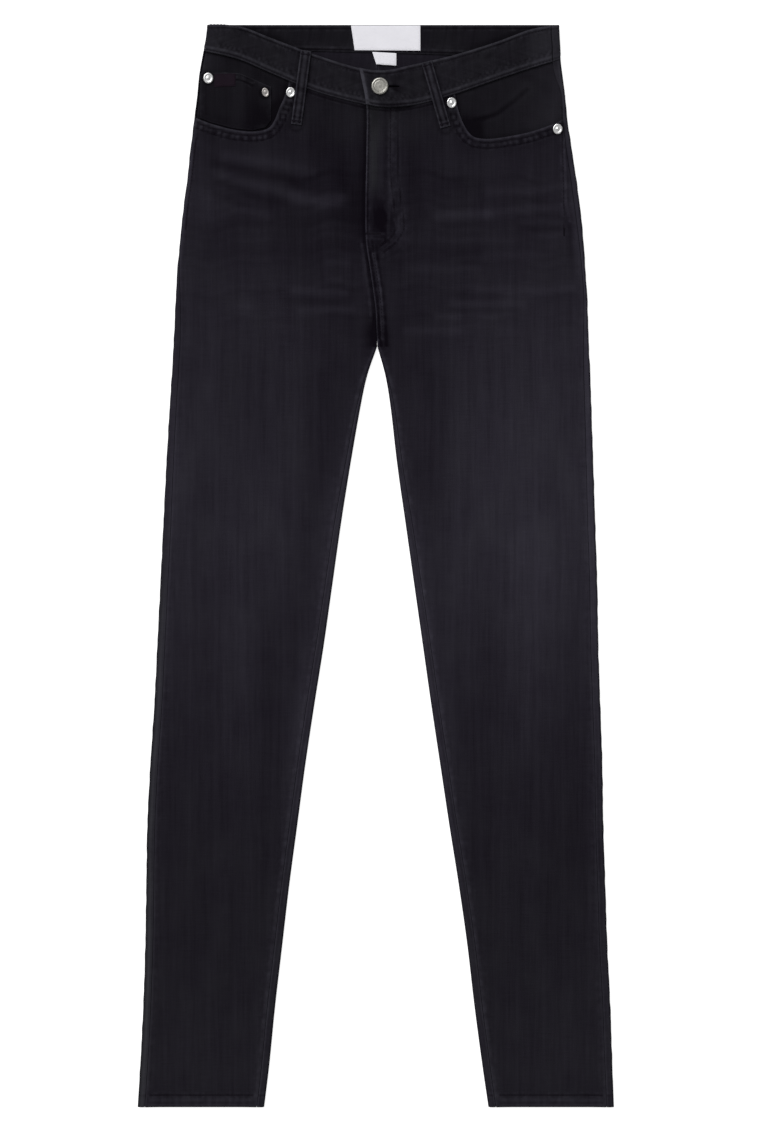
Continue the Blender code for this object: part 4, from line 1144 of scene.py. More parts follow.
BACK_HEIGHTS = np.concatenate([
    [0, 0.6, 1.5, 3, 5, 7.5, 10, 11.5, 13, 15, 18, 22], np.linspace(26, 753, 190), [755.5, 757.5, 759, 760]])
BACK_STEPS = np.concatenate([[0.7, 1.5, 2.5, 3.6, 4.8, 6.5], np.linspace(9, 251, 62)])
YOKE_STEPS = np.linspace(0, 1, 26)
BACK_COLUMNS = (24, 44, 24)  # over the side fold, beneath, and over the inner fold
FOLD_REACH = 9.0             # how far beneath the garment the close columns at a fold go
BACK_FADES = (Fade(105, 560, 60, 170, 0.16), Fade(100, 850, 75, 70, 0.14), Fade(110, 330, 45, 120, 0.05))
BACK_STREAKS = (
    Streak(3.4, 0.09, 0.20, ((30, 770), (95, 752), (170, 748))),
    Streak(3.2, 0.08, 0.18, ((40, 748), (110, 728))),
    Streak(3.0, 0.08, 0.18, ((60, 480), (120, 470), (180, 486))),
    Streak(3.0, 0.07, 0.15, ((75, 455), (150, 447))),
    Streak(3.2, 0.07, 0.15, ((70, 505), (160, 515))))


def back_along(side, height):
    """Cloth distances of all the back's columns, for one column of heights."""
    a, b, c = (np.linspace(0, 1, count) for count in BACK_COLUMNS)
    start = side_seam(side, height) - 0.5 * SEAM_GAP
    total = -Tube(side, height, False).reach
    end = total + np.where(height <= CROTCH, -(inseam(side, height) - 0.5 * SEAM_GAP), 0.5 * SEAM_GAP)
    first = start + (-FOLD_REACH - start) * a
    middle = -FOLD_REACH + (total + 2 * FOLD_REACH) * b[1:-1]
    last = total + FOLD_REACH + (end - total - FOLD_REACH) * c
    return np.concatenate([first, middle, last], -1)


def back_wear_and_shade(side, x, height, up):
    """Wear on the back; where it turns over on top, it goes with the front beside it, painted light and shade
    included.
    """
    wear_and_shade = 0.19 + fades_at(BACK_FADES, side * x, height) + streaks_at(BACK_STREAKS, side * x, height)[0]
    return np.where(up > -0.2, wear_and_shade_at(side, x, height) + 0.02, wear_and_shade)


def back_maps(side, made, along, point, normal, row):
    """Maps of a back panel or a yoke."""
    x, height, up = point[..., 0], point[..., 1], normal[..., 2]
    wear_and_shade = back_wear_and_shade(side, x, height, up)
    rub = np.where(up > -0.2, np.where(np.abs(along) < 20, 0.15, 0.45), 0.9)
    tint = np.where(up > -0.2, front_tint(side, x, height), 0.15)
    edge, row = np.clip(to_border(point)[0], 0, FAR), np.clip(row, 0, FAR)
    places = np.stack([along, height], -1).reshape(-1, 2)
    maps_for(made, places, *(values.ravel() for values in (wear_and_shade, edge, row, rub, tint)))


def back_grid(side, low, high, steps, legs=None):
    """Back panel or yoke: rows between two seams that vary with x."""
    columns = sum(BACK_COLUMNS) - 2
    top = np.full((len(steps), columns), 1000.0)
    bottom = np.full((len(steps), columns), CROTCH)
    share = (steps / steps[-1])[:, None]
    for _ in range(ROUNDS):
        height = bottom + share * (top - bottom)
        if legs is not None:
            height = np.vstack([np.repeat(legs[:, None], columns, 1), height])
        along = np.stack([back_along(side, height[:, k:k + 1])[:, k] for k in range(columns)], 1)
        point, normal = Tube(side, height, False).place(along)
        x, on_top = point[-len(steps):, :, 0], normal[-len(steps):, :, 2] > 0.01
        bottom, top = low(x, on_top), high(x, on_top)
    return point, normal, along, wall(height)


def build_back(side):
    """Back panel, which turns round the folds and shows beside the seams of the front."""
    word = WORDS[side]
    point, normal, along, thick = back_grid(
        side, lambda x, on_top: np.full(x.shape, CROTCH), lambda x, on_top: yoke_seam(x) - 0.5 * SEAM_GAP,
        BACK_STEPS, BACK_HEIGHTS)
    x, height, up = point[..., 0], point[..., 1], normal[..., 2]
    leg, on_top = height <= CROTCH, up > 0.3
    across = to_border(point)[1]
    from_start, from_end = across, across[:, -1:] - across
    pucker = 0.5 + 0.5 * ripple(height, 7.9, 12.3, 19.1)
    side_roll = np.where(on_top, (0.10 + 0.2 * pucker) * bell(from_start - 2.4, 1.5), 0)
    inner_roll = np.where(on_top & leg, (0.10 + 0.18 * pucker) * bell(from_end - 2.2, 1.4), 0)
    lift = np.where(up < -0.5, -streaks_at(BACK_STREAKS, side * x, height)[1], 0)
    lift = lift + side_roll - 0.18 * bell(from_start, 0.8)
    lift = lift + 0.30 * ripple(height + 50 * side, 15.0, 23.0, 38.0) * bell(along, 7.0) * ease(height, 14, 40)
    lift = lift + inner_roll - np.where(leg, 0.18, 0.1) * bell(from_end, 0.8)
    back = shell("back_" + word + "_cloth", point + normal * lift[..., None], point - normal * thick[..., None],
                 denim)

    centre_rows = np.minimum(np.abs(from_end - 2.5), np.abs(from_end - 8.0))
    row = np.minimum(np.abs(height - HEM_DEPTH), np.where(on_top, FAR, np.abs(yoke_seam(x) - 3 - height)))
    row = np.minimum(row, np.where((height > CROTCH + 12) & ~on_top, centre_rows, FAR))
    back_maps(side, back, along, point, normal, row)
    settle(back)
    settle_piece(back, "back_" + word, cut_area(point))


def build_yoke(side):
    """Yoke between the back and the waistband."""
    word = WORDS[side]
    point, normal, along, thick = back_grid(
        side, lambda x, on_top: yoke_seam(x) - 0.5 * SEAM_GAP,
        lambda x, on_top: np.where(on_top, band_lower(x), band_lower(x, False)) + BAND_TUCK, YOKE_STEPS)
    rounding = 0.3 * bell(to_border(point)[0], 0.8)
    yoke = shell("yoke_" + word + "_cloth", point - normal * rounding[..., None],
                 point - normal * thick[..., None], denim)
    over_seam = point[..., 1] - yoke_seam(point[..., 0])
    row = np.minimum(np.abs(over_seam - 3.0), np.abs(over_seam - 9.0))
    back_maps(side, yoke, along, point, normal, np.where(normal[..., 2] > 0.3, FAR, row))
    settle(yoke)
    settle_piece(yoke, "yoke_" + word, cut_area(point))


for side in (RIGHT, LEFT):
    build_back(side)
    build_yoke(side)


# Waistband

BAND_PARTS = np.concatenate([
    [0, 0.012, 0.03, 0.055, 0.085], np.linspace(0.12, 0.9, 19), [0.93, 0.955, 0.975, 0.99, 1]])[:, None]
BAND_SEAM_HEIGHT = 1065.0    # where the side seam is read for the waistband's own side seams
BAND_RUBS = np.array([1.1, 0.75, 0.85, 2.2])     # upper edge, lower edge, lower seam's roll, end


def band_rows(on_front, x, part):
    """Height at a part of the way up the waistband."""
    low = np.where(on_front, band_lower(x), band_lower(x, False)) + 0.5 * BAND_GAP
    high = np.where(on_front, band_upper(x), band_upper(x, False))
    return low + (high - low) * part


def band_side(side, along, part):
    """Outer face of the waistband near a side fold."""
    along = along + 0 * part
    height = np.full(along.shape, YOKE_SIDE + 40)
    for _ in range(ROUNDS + 2):
        point, normal = Tube(side, height, True, BAND_FOLD, SEAT_RISE).place(along)
        height = band_rows(along > 0, point[..., 0], part)
    point[..., 1] = height
    return point, normal


def band_flat(x, part, front, lift=0.0):
    """Outer face of the waistband between its side folds."""
    x = x + 0 * part
    height = band_rows(np.full(x.shape, front), x, part)
    z = (BAND_TOP if front else SEAT_RISE) + lift + 0 * x
    normal = np.zeros(x.shape + (3,))
    normal[..., 2] = 1.0 if front else -1.0
    return np.stack([x, height, z], -1), normal


def band_relief(point, border, from_low, to_top, seed):
    """Height of the waistband's surface over its plain form: rounded edges, puckers and stitch lines."""
    x = point[..., 0]
    wave = 0.5 + 0.5 * ripple(x + seed, 5.3, 7.9, 12.7)
    lift = -rounded(border, 1.0) * 0.8
    lift = lift + 0.22 * wave * bell(to_top - 2.0, 1.2) - 0.20 * bell(to_top - BAND_UPPER_ROW, 0.8)
    lift = lift - 0.20 * bell(from_low - BAND_LOWER_ROW, 0.8) + (0.10 + 0.18 * wave) * bell(from_low - 4.4, 1.6)
    return lift + 0.15 * ripple(x + 0.4 * point[..., 1], 43, 29) * ease(border, 4, 12)


def band_mottle(across, from_low, to_top, seed):
    """Uneven wear of the waistband in broad patches, and lighter and darker puckers beside its seams."""
    wave = gather(across + 0.7 * from_low + seed) - 0.3
    fine = ripple(across - 1.6 * from_low + seed, 5.9, 8.7, 13.1)
    broad = ripple(across + seed, 31, 47, 19) * ripple(from_low + 0.1 * across, 11, 17)
    return (0.30 * wave * bell(from_low - 8.6, 3.0) + 0.16 * wave * bell(to_top - 6, 2.2)
            + 0.05 * fine * bell(from_low - 15, 7) + 0.09 * broad * ease(from_low, 3, 9))


def buttonhole():
    """Outline of the keyhole: a round eyelet about the button's shank, and the slot beside it."""
    x, height = BUTTON_PLACE
    angles = np.radians(25 + 310 * np.linspace(0, 1, 13))
    circle = np.stack([np.cos(angles), np.sin(angles)], 1)
    eyelet = [(x + EYELET_RADIUS * c, height + EYELET_RADIUS * s) for c, s in circle]
    half, end = 0.5 * SLOT_WIDTH, BUTTONHOLE_END
    return eyelet + [(end, height - half), (end + 0.4 * SLOT_WIDTH, height), (end, height + half)]


def band_piece(node, point, normal, wear_and_shade, seed, wear_and_shade_inside=None):
    """One piece of the waistband from the grid of its outer face, which is returned with its relief."""
    buttoned, hidden = node == "waistband_front_left", wear_and_shade_inside is not None
    border, across, up = to_border(point)
    from_low, to_top = up, up[-1:] - up
    from_end = across[:, -1:] - across if buttoned else np.full(up.shape, 10 * FAR)
    face = point + normal * band_relief(point, border, from_low, to_top, seed)[..., None]
    inside = point - normal * BAND_CLOTH + normal * (rounded(border, 0.8) * 0.6)[..., None]
    made = shell(node + "_cloth", face, inside, denim)

    row = np.minimum(np.abs(to_top - BAND_UPPER_ROW), np.abs(from_low - BAND_LOWER_ROW))
    lines = np.stack([np.abs(to_top - 0.9), np.abs(from_low - 0.4), np.abs(from_low - 4.6),
                      np.abs(from_end - 1.0) * 0.6])
    edge, rub = lines.min(0), BAND_RUBS[lines.argmin(0)] * np.where(from_end < 12, 1.5, 1.0)
    beneath_button = bell(from_end - 26, 14) * bell(from_low - 2, 4)
    rub = rub * (1 - 0.6 * beneath_button) * (0.45 if hidden else 1.0)
    wear_and_shade = wear_and_shade - 0.12 * beneath_button + band_mottle(across, from_low, to_top, seed)
    if not hidden:
        wear_and_shade = wear_and_shade - shade_of_trim(point[..., 0], point[..., 1])
    if buttoned:
        # The slot is darker for its dark whipped stitching and with painted shade in its depth; a painted glint
        # lights the thread beside the button.
        from_slot = np.hypot(point[..., 0] - BUTTONHOLE_END + 3.5, point[..., 1] - BUTTON_PLACE[1])
        wear_and_shade = wear_and_shade - 0.20 * bell(from_slot, 4.4) + 0.20 * bell(from_slot - 6.0, 1.5) * (point[..., 0] < 16)
    places = np.stack([across + seed, up], -1).reshape(-1, 2)
    maps_for(made, places, *(values.ravel() for values in (wear_and_shade, edge, row, rub)), 0.6, wear_and_shade_inside)
    if buttoned:
        cut_away(made, buttonhole())
    settle(made)
    settle_piece(made, node, cut_area(point))
    return face


def build_front_band(side):
    """Front half of the waistband, from its side seam to the fly."""
    seam = side_seam(side, BAND_SEAM_HEIGHT) + 0.5 * SEAM_GAP
    start_point, start_normal = band_side(side, seam + np.linspace(0, 16 - seam, 14)[None], BAND_PARTS)
    first_x = side * start_point[..., -1:, 0]
    share = np.linspace(0, 1, 78)[1:][None]
    if side == LEFT:
        x = first_x + (centre_seam(1001 + 35 * BAND_PARTS) - first_x) * share
        lift = BAND_LIFT * (1 - ease(x, BAND_FLAT, BAND_FADE))
    else:
        x = -(first_x + (-BAND_UNDERLAP_END - first_x) * share)
        lift = 0.0
    flat_point, flat_normal = band_flat(x, BAND_PARTS, True, lift)
    point = np.concatenate([start_point, flat_point], 1)
    normal = np.concatenate([start_normal, flat_normal], 1)
    out = side * point[..., 0]
    wear_and_shade = 0.165 + 0.04 * bell(out - 60, 30) + (0.13 if side == RIGHT else 0.21) * ease(out, 140, 175)
    return band_piece("waistband_front_" + WORDS[side], point, normal, wear_and_shade, 100.0 * side)


def build_back_band():
    """Back of the waistband, whose ends turn over in front and whose inside shows above the fly."""
    ends = []
    for side in (RIGHT, LEFT):
        seam = side_seam(side, BAND_SEAM_HEIGHT) - 0.5 * SEAM_GAP
        ends.append(band_side(side, seam + np.linspace(0, -FOLD_REACH - seam, 22)[None], BAND_PARTS))
    right, left = ends
    start, end = right[0][:, -1:, 0], left[0][:, -1:, 0]
    middle = band_flat(start + (end - start) * np.linspace(0, 1, 150)[None, 1:-1], BAND_PARTS, False)
    point, normal = (np.concatenate([right[k], middle[k], left[k][:, ::-1]], 1) for k in (0, 1))
    # Painted shadow of the front waistband's upper edge, on the inside of the back one just above it.
    inside = 0.115 - 0.08 * bell(point[..., 1] - band_upper(point[..., 0]) - 1.0, 5.0)
    turned_over = np.where(point[..., 0] > 0, 0.17, 0.11) * (normal[..., 2] > -0.3)
    band_piece("waistband_back", point, normal, 0.19 + turned_over, 37.0, inside.ravel())


band_faces = {side: build_front_band(side) for side in (RIGHT, LEFT)}
build_back_band()


# Flat pieces

FACING_INNER = {RIGHT: -84.0, LEFT: 74.0}
FACING_OUTER = 182.0         # first guess, which the rounds replace by the outline less its inset
FACING_INSET = 2.3
FACING_MARGIN = 9.0          # the facing's reach under the front, beyond the opening
COIN_SIDES = (-176.0, -105.0)


def patch(name, node, outer, thickness, look, wear_and_shade, rows, lift=0.0, round_edge=0.5,
          rub=1.0, edge=None, tint=0.3):
    """Piece of cloth over a grid of places, with its border rounded."""
    border = to_border(outer)[0]
    top, bottom = outer.copy(), outer.copy()
    top[..., 2] += lift - rounded(border, round_edge)
    bottom[..., 2] -= thickness
    made = shell(name, top, bottom, look)
    row = np.full(border.shape, FAR)
    for line in rows:
        row = np.minimum(row, distance_to(outer[..., 0], outer[..., 1], line))
    edge = border if edge is None else edge
    wear_and_shade, rub = (np.broadcast_to(values, border.shape) for values in (wear_and_shade, rub))
    maps_for(made, outer[..., :2].reshape(-1, 2), *(values.ravel() for values in (wear_and_shade, edge, row, rub)), tint)
    settle(made)
    settle_piece(made, node, cut_area(outer))


def between_curves(x, low, high, count, z):
    """Grid of places between two curves over x."""
    t = np.linspace(0, 1, count)[:, None]
    height = low + (high - low) * t
    return np.stack([x + 0 * height, height, z + 0 * height], -1)


def quad_grid(corners, columns, rows, z):
    """Grid of places over a four-sided outline: low left, low right, high right, high left."""
    a, b, c, d = (np.array(corner, float) for corner in corners)
    s, t = np.linspace(0, 1, columns)[None, :, None], np.linspace(0, 1, rows)[:, None, None]
    place = (a * (1 - s) + b * s) * (1 - t) + (d * (1 - s) + c * s) * t
    return np.concatenate([place, np.full(place.shape[:2] + (1,), z)], -1)


def facing_grid(side):
    """Pocket facing: from under the opening's edge up to the waistband."""
    line = opening_lines[side]
    line = line[np.argsort(line[:, 0])]
    inner = FACING_INNER[side]
    share, up = np.linspace(0, 1, 70)[None], np.linspace(0, 1, 46)[:, None]
    x = inner + (side * FACING_OUTER - inner) * share
    low = np.minimum(np.interp(x, line[:, 0], line[:, 1]) - FACING_MARGIN, 1000.0)
    x = x + 0 * up
    for _ in range(ROUNDS - 1):
        height = low + (band_lower(x) + BAND_TUCK - low) * up
        x = inner + (side * (outer_edge(side, height) - FACING_INSET) - inner) * share
    return np.stack([x, height, 0 * x + FACING_BASE[side] + FACING_CLOTH], -1)


def build_facing(side):
    """Facing that shows in a pocket's opening, with painted shade in its corner; the left one has a crease,
    painted darker in its fold.
    """
    word = WORDS[side]
    outer = facing_grid(side)
    x, height = outer[..., 0], outer[..., 1]
    # Painted shade under the opening's edge, beside the trim and in the inner corner; on the left, painted shade
    # in the crease and a painted highlight beside it.
    shade = 0.06 * bell(distance_to(x, height, opening_lines[side]), 5.0) + shade_of_trim(x, height)
    patches = 0.03 * ripple(x + 0.4 * height, 33, 51) * ripple(height, 37, 23)
    if side == LEFT:
        crease = distance_to(x, height, FACING_CREASE)
        lift = -0.45 * bell(crease, 2.2) + 0.25 * bell(crease - 4, 3.0)
        shade = shade + 0.27 * bell(np.hypot(x - 95, height - 976), 11)
        shade = shade + (0.07 + 0.05 * ease(-x, -140, -105)) * bell(crease, 2.3)
        wear_and_shade = 0.115 + 0.02 * bell(crease - 4.5, 3)
        wear_and_shade = wear_and_shade + 0.13 * ease(x - 0.25 * (height - 1000), 145, 182) + 0.03 * ease(x, 120, 150)
    else:
        lift = 0.0
        shade = shade + 0.27 * bell(np.hypot(x + 100, height - 990), 11)
        wear_and_shade = 0.09 + 0.12 * ease(-x, 148, 172) * ease(height, 1028, 1042)
    patch("pocket_facing_" + word + "_cloth", "pocket_facing_" + word, outer, FACING_CLOTH, facing_denim,
          wear_and_shade + patches - shade, (), lift, tint=0.55)


def build_coin_pocket():
    """Coin pocket, with two rows of stitches under its upper edge."""
    x = np.linspace(*COIN_SIDES, 40)[None]
    low, high = (np.interp(x, *np.array(line).T) for line in (COIN_LOWER, COIN_UPPER))
    outer = between_curves(x, low, high, 34, COIN_TOP)
    rows = [line_through([(x, height - drop) for x, height in COIN_UPPER[:-1]]) for drop in (2.2, 7.0)]
    x, height = outer[..., 0], outer[..., 1]
    wear_and_shade = 0.10 - shade_of_trim(x, height) + 0.04 * ripple(x, 27, 41) + 0.03 * bell(to_border(outer)[0] - 2, 2)
    # Painted shade under the front's opening edge and in the pocket's inner corner.
    wear_and_shade = wear_and_shade - 0.08 * bell(distance_to(x, height, opening_lines[RIGHT]), 8.0)
    wear_and_shade = wear_and_shade - 0.12 * bell(np.hypot(x + 108, height - 990), 15)
    patch("coin_pocket_cloth", "coin_pocket", outer, FACING_CLOTH, facing_denim, wear_and_shade, rows,
          tint=0.55)


def build_ribbon(node, corners, base, grid, look, wave, raised=0.0):
    """Label or tab of ribbon, lying in slight waves: their height and their two lengths."""
    outer = quad_grid(corners, *grid, base + LABEL_CLOTH)
    lift = wave[0] * ripple(outer[..., 0], *wave[1:]) + raised
    patch(node + "_ribbon", node, outer, LABEL_CLOTH, look, 0.5, (), lift, 0.3)


for side in (RIGHT, LEFT):
    build_facing(side)
build_coin_pocket()
build_ribbon("main_label", MAIN_LABEL, LABEL_BASE, (44, 20), label_cloth,
             (0.12, 31, 47), 0.1)
build_ribbon("size_label", SIZE_LABEL, LABEL_BASE, (20, 14), label_cloth,
             (0.12, 17, 11))
build_ribbon("coin_tab", COIN_TAB, COIN_TOP + LAYER_GAP, (20, 14), tab_cloth,
             (0.08, 9, 13))


# Belt loops and back pockets

LOOP_ARCH = 0.8              # rise of a loop between the waistband's upper edge and its seam
TACK_LENGTH = 9.0
TACK_WIDTH = 2.2
POCKET_HALF_TOP = 71.0
POCKET_HALF_FOOT = 64.0
POCKET_SIDE_DROP = 132.0
POCKET_TIP_DROP = 158.0
POCKET_ROWS = (2.4, 8.0)


def loop_grid(loop):
    """Belt loop over the waistband, folded at both edges, with its ends turned under."""
    run = np.array([loop.x_bottom - loop.x_top, loop.bottom - loop.top])
    across = np.array([-run[1], run[0]]) / np.hypot(*run)
    t = np.linspace(0, 1, 60)[:, None]
    s = np.linspace(-0.5, 0.5, 15)[None]
    middle_x, middle_h = loop.x_top + run[0] * t, loop.top + run[1] * t
    seam = band_lower(middle_x)
    on_band = ease(middle_h, seam - 7.0, seam + 1.5)
    base = HIP_TOP + (BAND_TOP - HIP_TOP) * on_band + LAYER_GAP
    lifted = np.where(loop.x_top > 0, BAND_LIFT * (1 - ease(middle_x, BAND_FLAT, BAND_FADE)), 0)
    base = base + LOOP_ARCH * np.sin(pi * np.clip(t, 0, 0.6) / 0.6) + lifted
    x = middle_x + across[0] * s * LOOP_WIDTH
    height = middle_h + across[1] * s * LOOP_WIDTH
    return np.stack([x, height, base + LOOP_CLOTH + 0 * s], -1)


def loop_relief(outer):
    """Height of a loop's surface: its middle seam, its rolled edges, its stitches and its tacks."""
    _, across, up = to_border(outer)
    middle = np.abs(across - 0.5 * across[:, -1:])
    wave = 0.5 + 0.5 * ripple(up, 5.5, 7.3)
    tack = bell(up - 4.0, 2.0) + bell(up[-1:] - up - 3.5, 2.0)
    return (0.18 * bell(middle, 1.6) + 0.15 * wave * bell(middle - 4.2, 0.9) - 0.18 * bell(middle - 3.0, 0.7)
            - 0.3 * tack)


def loop_lines(outer, offset=3.0):
    """Two rows of stitches along a loop, on its grid."""
    across = np.linalg.norm(outer[0, -1] - outer[0, 0])
    lines = []
    for place in (0.5 - offset / across, 0.5 + offset / across):
        column = place * (outer.shape[1] - 1)
        k = int(column)
        lines.append(outer[1:-1, k] * (1 - column + k) + outer[1:-1, k + 1] * (column - k))
    return lines


def bartack(centre, along, length, width, z):
    """Dense cross stitches over a short line."""
    along = np.array(along, float) / np.hypot(*along)
    across = np.array([-along[1], along[0]])
    bars = []
    for step in np.arange(-0.5 * length, 0.5 * length, 0.62):
        middle = np.array(centre) + along * step
        ends = np.array([middle - across * 0.5 * width, middle, middle + across * 0.5 * width])
        bars.append(np.concatenate([ends, np.full((3, 1), z)], 1))
    return bars


def build_front_loop(loop):
    """Belt loop in front; its rows of stitches and its two tacks are returned."""
    outer = loop_grid(loop)
    lines = loop_lines(outer)
    side = RIGHT if loop.x_top < 0 else LEFT
    border, across, down = to_border(outer)
    middle, to_end = np.abs(across - 0.5 * across[:, -1:]), down[-1:] - down
    wear_and_shade = 0.17 - 0.20 * (bell(to_end - 2.6, 0.9) + bell(to_end - 7.2, 1.0)) + 0.16 * bell(to_end - 4.9, 1.0)
    wear_and_shade = wear_and_shade + 0.06 * ripple(down + 3 * loop.x_top, 7.3, 12.7)
    patch(loop.name + "_cloth", loop.name, outer, LOOP_CLOTH, denim, wear_and_shade,
          [line[:, :2] for line in lines], loop_relief(outer), 0.6,
          rub=np.where(middle < 1.5, 0.7, 1.3), edge=np.minimum(border, middle + 0.2), tint=0.5)
    run = np.array([loop.x_bottom - loop.x_top, loop.bottom - loop.top])
    along = run / np.hypot(*run)
    tacks = []
    for distance, z in ((4.0, outer[3, 7, 2]), (np.hypot(*run) - 3.5, outer[-4, 7, 2])):
        centre = np.array([loop.x_top, loop.top]) + along * distance
        tacks += bartack(centre, (-along[1], along[0]), TACK_LENGTH, TACK_WIDTH, z - 0.15)
    return [line - np.array([0, 0, 0.05]) for line in lines], tacks


def build_back_loop(name, x):
    """Belt loop behind, lying flat under the garment; its rows of stitches are returned."""
    top = float(band_upper(np.array(x), False)) - 0.5
    bottom, half = top - BACK_LOOP_LENGTH, 0.5 * BACK_LOOP_WIDTH
    outer = quad_grid(((x - half, bottom), (x + half, bottom), (x + half, top), (x - half, top)), 15, 56, 0.0)
    lines = loop_lines(outer)
    patch(name + "_cloth", name, outer, -BACK_TRIM_CLOTH, denim, 0.2, [line[:, :2] for line in lines],
          -0.5 * loop_relief(outer), 0.4)
    return lines


def back_pocket_grid(side):
    """Back pocket: narrower at its pointed foot, and turned a little."""
    turn = -side * BACK_POCKET_TURN
    share, up = np.linspace(-1, 1, 60)[None], np.linspace(0, 1, 66)[:, None]
    x_top, x_low = POCKET_HALF_TOP * share, POCKET_HALF_FOOT * share
    low = -POCKET_TIP_DROP + (POCKET_TIP_DROP - POCKET_SIDE_DROP) * np.abs(share)
    x = x_low + (x_top - x_low) * up
    height = low * (1 - up)
    place_x = x * np.cos(turn) - height * np.sin(turn) + side * BACK_POCKET_CENTRE
    place_h = x * np.sin(turn) + height * np.cos(turn) + BACK_POCKET_TOP
    return np.stack([place_x, place_h, 0 * place_x], -1)


def grid_line(outer, inset, far):
    """Line round the sides and the foot of a pocket's grid, inset from its border."""
    _, across, up = to_border(outer)
    rows, columns = outer.shape[:2]
    k = max(1, int(round(inset / (across[0, -1] / (columns - 1)))))
    j = max(1, int(round(inset / (up[-1, 0] / (rows - 1)))))
    return np.concatenate([outer[far:j:-1, k], outer[j, k:columns - k], outer[j + 1:far, columns - 1 - k]])


def build_back_pocket(side):
    """Back pocket under the garment; its rows of stitches are returned."""
    node = "back_pocket_" + WORDS[side]
    outer = back_pocket_grid(side)
    lines = [grid_line(outer, inset, 63) for inset in POCKET_ROWS] + [outer[-4, 1:-1], outer[-9, 1:-1]]
    wear_and_shade = 0.24 + 0.06 * bell(to_border(outer)[0] - 20, 14)
    patch(node + "_cloth", node, outer, -BACK_TRIM_CLOTH, denim, wear_and_shade, [line[:, :2] for line in lines],
          0.15, 0.4)
    return lines


trim_lines, tacks = [], []
for loop in FRONT_LOOPS:
    lines, loop_tacks = build_front_loop(loop)
    trim_lines += lines
    tacks += loop_tacks
for name, x in BACK_LOOPS:
    trim_lines += build_back_loop(name, x)
for side in (RIGHT, LEFT):
    trim_lines += build_back_pocket(side)


# Metal

BUTTON = (
    (0, 2.35), (2.5, 2.3), (4.9, 2.35), (5.5, 2.2), (6.0, 2.5), (6.6, 3.0), (7.5, 2.95), (8.3, 2.3), (8.5, 1.5),
    (8.1, 0.8), (7.0, 0.4), (2.2, 0.4), (2.2, -2.4), (0, -2.4))
RIVET = (                    # radius as a share of the rivet's own
    (0, 1.35), (0.14, 1.32), (0.26, 1.05), (0.36, 0.78), (0.55, 0.74), (0.72, 0.95), (0.88, 0.95), (0.99, 0.55),
    (0.97, 0.1), (0.8, 0.0), (0, 0.0))
MILLED_RING = (5.9, 7.6)
MILLED_RIDGES = 48
ROUND, WIDE, TILTED = (1.0, 1.0), (1.0, 1.12), (0.78, 1.08)


def turned(node, profile, place, base, look, segments, oval, lean=0.0, marks=None):
    """Turned piece of metal from its profile of (radius, height), beaten a little oval."""
    profile = line_through(profile, 0.35)
    ring = np.maximum(profile[:, None, 0], 0)
    angle = np.linspace(0, 2 * pi, segments, endpoint=False)
    wide, tall = oval[0] * ring * np.cos(angle), oval[1] * ring * np.sin(angle)
    x = place[0] + wide * np.cos(lean) - tall * np.sin(lean)
    height = place[1] + wide * np.sin(lean) + tall * np.cos(lean)
    z = base + profile[:, None, 1] + 0 * angle
    if marks is not None:
        z = z + marks(ring, angle)
    faces = []
    for j in range(len(profile) - 1):
        for i in range(segments):
            n = (i + 1) % segments
            faces.append((j * segments + i, j * segments + n, (j + 1) * segments + n, (j + 1) * segments + i))
    made = add_mesh(node + "_metal", np.stack([x, height, z], -1), faces, look)
    bm = bmesh.new()
    bm.from_mesh(made.data)
    bmesh.ops.remove_doubles(bm, verts=bm.verts, dist=0.00001)
    bmesh.ops.holes_fill(bm, edges=bm.edges, sides=segments)
    bm.to_mesh(made.data)
    bm.free()
    settle(made, 1.0)
    settle_piece(made, node)


def milled(ring, angle):
    """Fine ridges round the button's raised ring."""
    return 0.05 * np.cos(MILLED_RIDGES * angle) * ((ring > MILLED_RING[0]) & (ring < MILLED_RING[1]))


turned("button", BUTTON, BUTTON_PLACE, BAND_TOP + BAND_LIFT, nickel, 96, ROUND, 0.0, milled)
for rivet in RIVETS:
    tarnished = rivet.name == "rivet_coin_inner"
    turned(rivet.name, [(share * rivet.radius, z) for share, z in RIVET], (rivet.x, rivet.height),
           rivet.base + LAYER_GAP, worn_steel if tarnished else steel, 40, TILTED if tarnished else WIDE,
           0.3 if tarnished else 0.0)


# Thread

Station = namedtuple("Station", "along half high")
STITCH = (
    Station(-0.5, 0.16, -0.22), Station(-0.34, 0.30, 0.12), Station(0.0, 0.34, 0.20),
    Station(0.34, 0.30, 0.12), Station(0.5, 0.16, -0.22))
STITCH_DROP = 0.26
FRONT_TACKS = (((-3.0, 872.0), (1, 0), 15.0), ((187.5, 874.0), (0, 1), 8.0))


